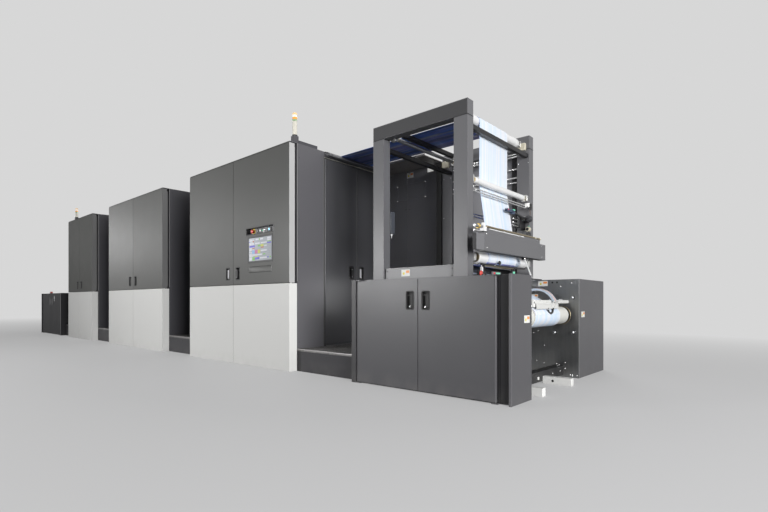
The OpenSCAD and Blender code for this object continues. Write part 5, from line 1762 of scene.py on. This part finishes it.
class PRESS_OT_roofs(PressOperator, bpy.types.Operator):
    """Add the top rails, roof sheets and lifting eyes of the modules"""

    bl_idname = "press.roofs"
    bl_label = "Roofs"

    def execute(self, context):
        front, top = CAD_BOX[0].y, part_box("housing_1")[1].z
        roofs = Piece("module_roofs")
        for module in MODULES:
            left, right = module_ends(module)
            middle, last = (left + right) / 2, module == 3
            roofs.blocks(("door_matt" if module == 1 else "door", (left + 0.001, right - 0.001),
                (front + 0.004, front + 0.095), (top - 0.008, top + 0.001), 0.002))
            # two roof sheets with a raised joint, screwed down
            for a, b in ((left + 0.006, middle - 0.004), (middle + 0.004, right - (0.06 if last else 0.006))):
                roofs.blocks(("housing", (a, b), (front + (0.44 if last else 0.175), 1.04),
                    (top - 0.0005, top + 0.003), 0.0015))
                roofs.screws("steel", [(x, y, top + 0.003) for x in (a + 0.03, (a + b) / 2, b - 0.03)
                    for y in (-0.55, 0.2, 1)], OUT, 0.007)
            # lifting eyes over the corners
            for x, y, _ in corners((left + 0.16, right - 0.2), (-0.42, 0.9)):
                at = Vector((x, y, top + 0.003))
                roofs.turn(at, OUT, [(0, 0.026), (0.008, 0.026), (0.011, 0.018), (0.016, 0.014)], sides=20)
                roofs.tube([at + Vector((0.022 * math.cos(a), 0, 0.034 + 0.022 * math.sin(a)))
                    for a in (2 * math.pi * k / 16 for k in range(17))], 0.006, 8)
        roofs.make()
        return {"FINISHED"}


class PRESS_OT_backs(PressOperator, bpy.types.Operator):
    """Add handles, vents, seams and screws to the rear panels of the modules and the walkways"""

    bl_idname = "press.backs"
    bl_label = "Rear Covers"

    def module_back(self, module, back):
        made = Piece(f"module_{module}_rear_covers")
        left, right = module_ends(module)
        middle = (left + right) / 2
        for a, b in ((left, middle - 0.003), (middle + 0.003, right)):
            wide, centre = b - a, (a + b) / 2
            # pressed border and a sunk grip on each upper cover
            made.use("rear_panel").on((centre, back, 1.664), *BACK)
            made.frame((wide - 0.1, 1.372), 0.03, (-0.0005, 0.003), 0.012)
            for u in (0.07 - wide / 2, wide / 2 - 0.07):
                made.use("black_plastic").frame((0.03, 0.11), 0.007, (0, 0.004), 0.006, (u, -0.36, 0))
                made.blocks(("black_plastic", (u - 0.015, u + 0.015), (-0.415, -0.305), (-0.0004, 0.0004)),
                    ("pale_plastic", (u - 0.01, u + 0.002), (-0.405, -0.315), (0.0004, 0.0045)))
            grille(made, 0.52, min(0.56, wide * 0.6), 0.22, 9)
            made.screws("steel", corners((0.022 - wide / 2, wide / 2 - 0.022), (-0.7, 0, 0.7)), OUT, 0.006)
            # the lower cover: a low vent and quarter-turn locks
            made.on((centre, back, 0.461), *BACK)
            grille(made, -0.2, min(0.5, wide * 0.55), 0.16, 6, "grey_plastic")
            for u, v, _ in corners((0.06 - wide / 2, wide / 2 - 0.06), (-0.38, 0.38)):
                made.use("black_plastic").turn((u, v, -0.0005), OUT, [(0, 0.014), (0.004, 0.014),
                    (0.006, 0.011)], sides=16)
                made.use("chrome").turn((u, v, 0.0055), OUT, [(0, 0.006), (0.0012, 0.005)], sides=12)
        sticker(made.on((right - 0.2, back, 1.1), *BACK), 0, 0, 0.092, sizes().sticker)
        made.make(0.0004)

    def execute(self, context):
        back = CAD_BOX[1].y
        for module in MODULES:
            self.module_back(module, back)
        walls = Piece("walkway_rear_covers")
        for start, end in (("housing_1", "housing_2"), ("housing_2", "housing_3"), ("end_panels", None)):
            a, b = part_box(start)[1].x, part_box(end)[0].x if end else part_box("rear_walls")[1].x
            for low, high in ((0.03, 0.905), (0.918, 2.345)):
                walls.blocks(("rear_wall", (a + 0.006, b - 0.006), (back - 0.001, back + 0.0025), (low, high),
                    0.0015))
                walls.screws("steel", [(x, back + 0.0025, z) for x in (a + 0.03, b - 0.03)
                    for z in (low + 0.035, (low + high) / 2, high - 0.035)], ALONG, 0.006)
            grille(walls.on(((a + b) / 2, back + 0.0025, 2.05), *BACK), 0, 0.44, 0.2, 8)
            # cable duct along the foot
            walls.at().blocks(("black", (a + 0.02, b - 0.02), (back + 0.0025, back + 0.02), (0.1, 0.17),
                0.003))
        walls.make()
        return {"FINISHED"}


class PRESS_OT_module_ends(PressOperator, bpy.types.Operator):
    """Add cover sheets, bright corner lines and seams to the module ends beside the walkways"""

    bl_idname = "press.module_ends"
    bl_label = "Module Ends"

    def execute(self, context):
        top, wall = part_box("housing_1")[1].z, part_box("rear_walls")[0].y
        for node, sides in (("housing_1", (-1, 1)), ("housing_2", (-1, 1)), ("housing_3", (-1,))):
            low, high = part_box(node)
            made = Piece(f"{node}_end_sheets")
            for side in sides:
                skin = reach(high.x if side > 0 else low.x, side, -0.001, 0.0018)
                for y0, y1 in ((-1.028, -0.42), (-0.416, wall - 0.003)):
                    made.blocks(("housing", skin, (y0, y1), (0.245, top - 0.012), 0.0008))
                    made.screws("black", [(skin[side > 0], y, z) for y in (y0 + 0.03, y1 - 0.03)
                        for z in (0.3, 1, 1.7, 2.34)], (side, 0, 0), 0.0045)
                made.blocks(("line", skin, DOOR_LINE, (0.945, top - 0.004), 0.0008))
            made.make()
        return {"FINISHED"}


# ---------------------------------------------------------------- unwinding

class PRESS_OT_unwind_bay(PressOperator, bpy.types.Operator):
    """Turn the supply roll with its chucks and shaft, and fit the side plate and the cabinet's button"""

    bl_idname = "press.unwind_bay"
    bl_label = "Unwind Bay"

    def execute(self, context):
        low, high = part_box("supply_roll")
        x, z, r = (low.x + high.x) / 2, (low.z + high.z) / 2, (high.x - low.x) / 2
        (start, end), core_box = (corner.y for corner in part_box("rewind_roll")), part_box("rewind_core")
        core = (core_box[1].z - core_box[0].z) / 2
        roll = Piece("supply_roll_turned").at(x, 0, z).use("roll")
        wound(roll, start, end - start, core, r, 0.002, 96)
        roll.use("chuck").turn((0, start - 0.06, 0), ALONG, [(0, core - 0.03), (0.004, core - 0.01),
            (0.012, core - 0.0002), (0.07, core - 0.0002), (0.071, core - 0.02)], sides=48)
        roll.turn((0, end - 0.01, 0), ALONG, [(0, core - 0.02), (0.001, core - 0.0002), (0.15, core - 0.0002),
            (0.158, core - 0.01), (0.162, core - 0.03)], sides=48)
        roll.use("steel").rod((0, low.y + 0.0002, 0), (0, high.y - 0.0002, 0), SHAFT, sides=40)
        roll.screws("black", round_places(6, 0.06, start - 0.059), NEAR, 0.004)
        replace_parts(roll.make(), "supply_roll")
        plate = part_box("side_plates")[0].y
        fittings = Piece("unwinder_plate_fittings").at(0, plate).use("bronze")
        fittings.ring((x, -0.008, z), (x, 0.0005, z), 0.09, 0.0405, sides=48)
        fittings.screws("chrome", [(u, 0, v) for u in (-5.9, -5.3, -4.9, -4.45) for v in (0.06, 0.46, 0.9)],
            NEAR).make()
        front, top = CAD_BOX[0].y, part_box("unwinder_cabinet")[1].z
        button = Piece("unwinder_button").at(-5.62, front + 0.1, top).use("black_plastic")
        button.turn((0, 0, 0), OUT, [(-0.0005, 0.034), (0.01, 0.034), (0.014, 0.028)])
        button.use("red").turn((0, 0, 0.012), OUT, [(0, 0.018), (0.01, 0.018), (0.013, 0.03), (0.024, 0.032),
            (0.032, 0.022)])
        button.make()
        tab = Piece("unwinder_door_label", "unwinder_right_door").on((-4.96, front, 0.8),
            *FRONT).use("pale_plastic")
        tab.rim(0.034, 0.11, (0, 0.004, -0.0004), (0, 0.004, 0.003), (-0.006, 0.003, 0.0045))
        tab.blocks(("black_plastic", (-0.01, 0.01), (-0.04, -0.01), (0.0044, 0.005))).make()
        return {"FINISHED"}


# ---------------------------------------------------------------- panel and registration

SETTINGS = {"press_colours": PressColours, "press_sizes": PressSizes, "press_stage": PressStage}
STEPS = (PRESS_OT_finishes, PRESS_OT_handles, PRESS_OT_controls, PRESS_OT_screen, PRESS_OT_door_trims,
         PRESS_OT_towers, PRESS_OT_gratings, PRESS_OT_steps, PRESS_OT_end_wall, PRESS_OT_rear_walls,
         PRESS_OT_cabinets, PRESS_OT_portal, PRESS_OT_rollers, PRESS_OT_splice_station, PRESS_OT_sensors,
         PRESS_OT_rewind_bay, PRESS_OT_guard, PRESS_OT_floor_parts, PRESS_OT_roofs, PRESS_OT_backs,
         PRESS_OT_module_ends, PRESS_OT_unwind_bay, PRESS_OT_stage)


class PRESS_PT_panel(bpy.types.Panel):
    """Lists the steps that dress the press"""

    bl_idname = "PRESS_PT_panel"
    bl_label = "Inkjet Press"
    bl_space_type = "VIEW_3D"
    bl_region_type = "UI"
    bl_category = "Press"

    def draw(self, context):
        for step in STEPS:
            self.layout.operator(step.bl_idname)
        for name, group in SETTINGS.items():
            box = self.layout.box()
            for key in group.__annotations__:
                box.prop(getattr(context.scene, name), key)


def register():
    for made in (*SETTINGS.values(), *STEPS, PRESS_PT_panel):
        bpy.utils.register_class(made)
    for name, group in SETTINGS.items():
        setattr(bpy.types.Scene, name, PointerProperty(type=group))


def unregister():
    for name in SETTINGS:
        delattr(bpy.types.Scene, name)
    for made in reversed((*SETTINGS.values(), *STEPS, PRESS_PT_panel)):
        bpy.utils.unregister_class(made)


def main():
    register()
    for step in STEPS:
        group, name = step.bl_idname.split(".")
        getattr(getattr(bpy.ops, group), name)()


if __name__ == "__main__":
    main()
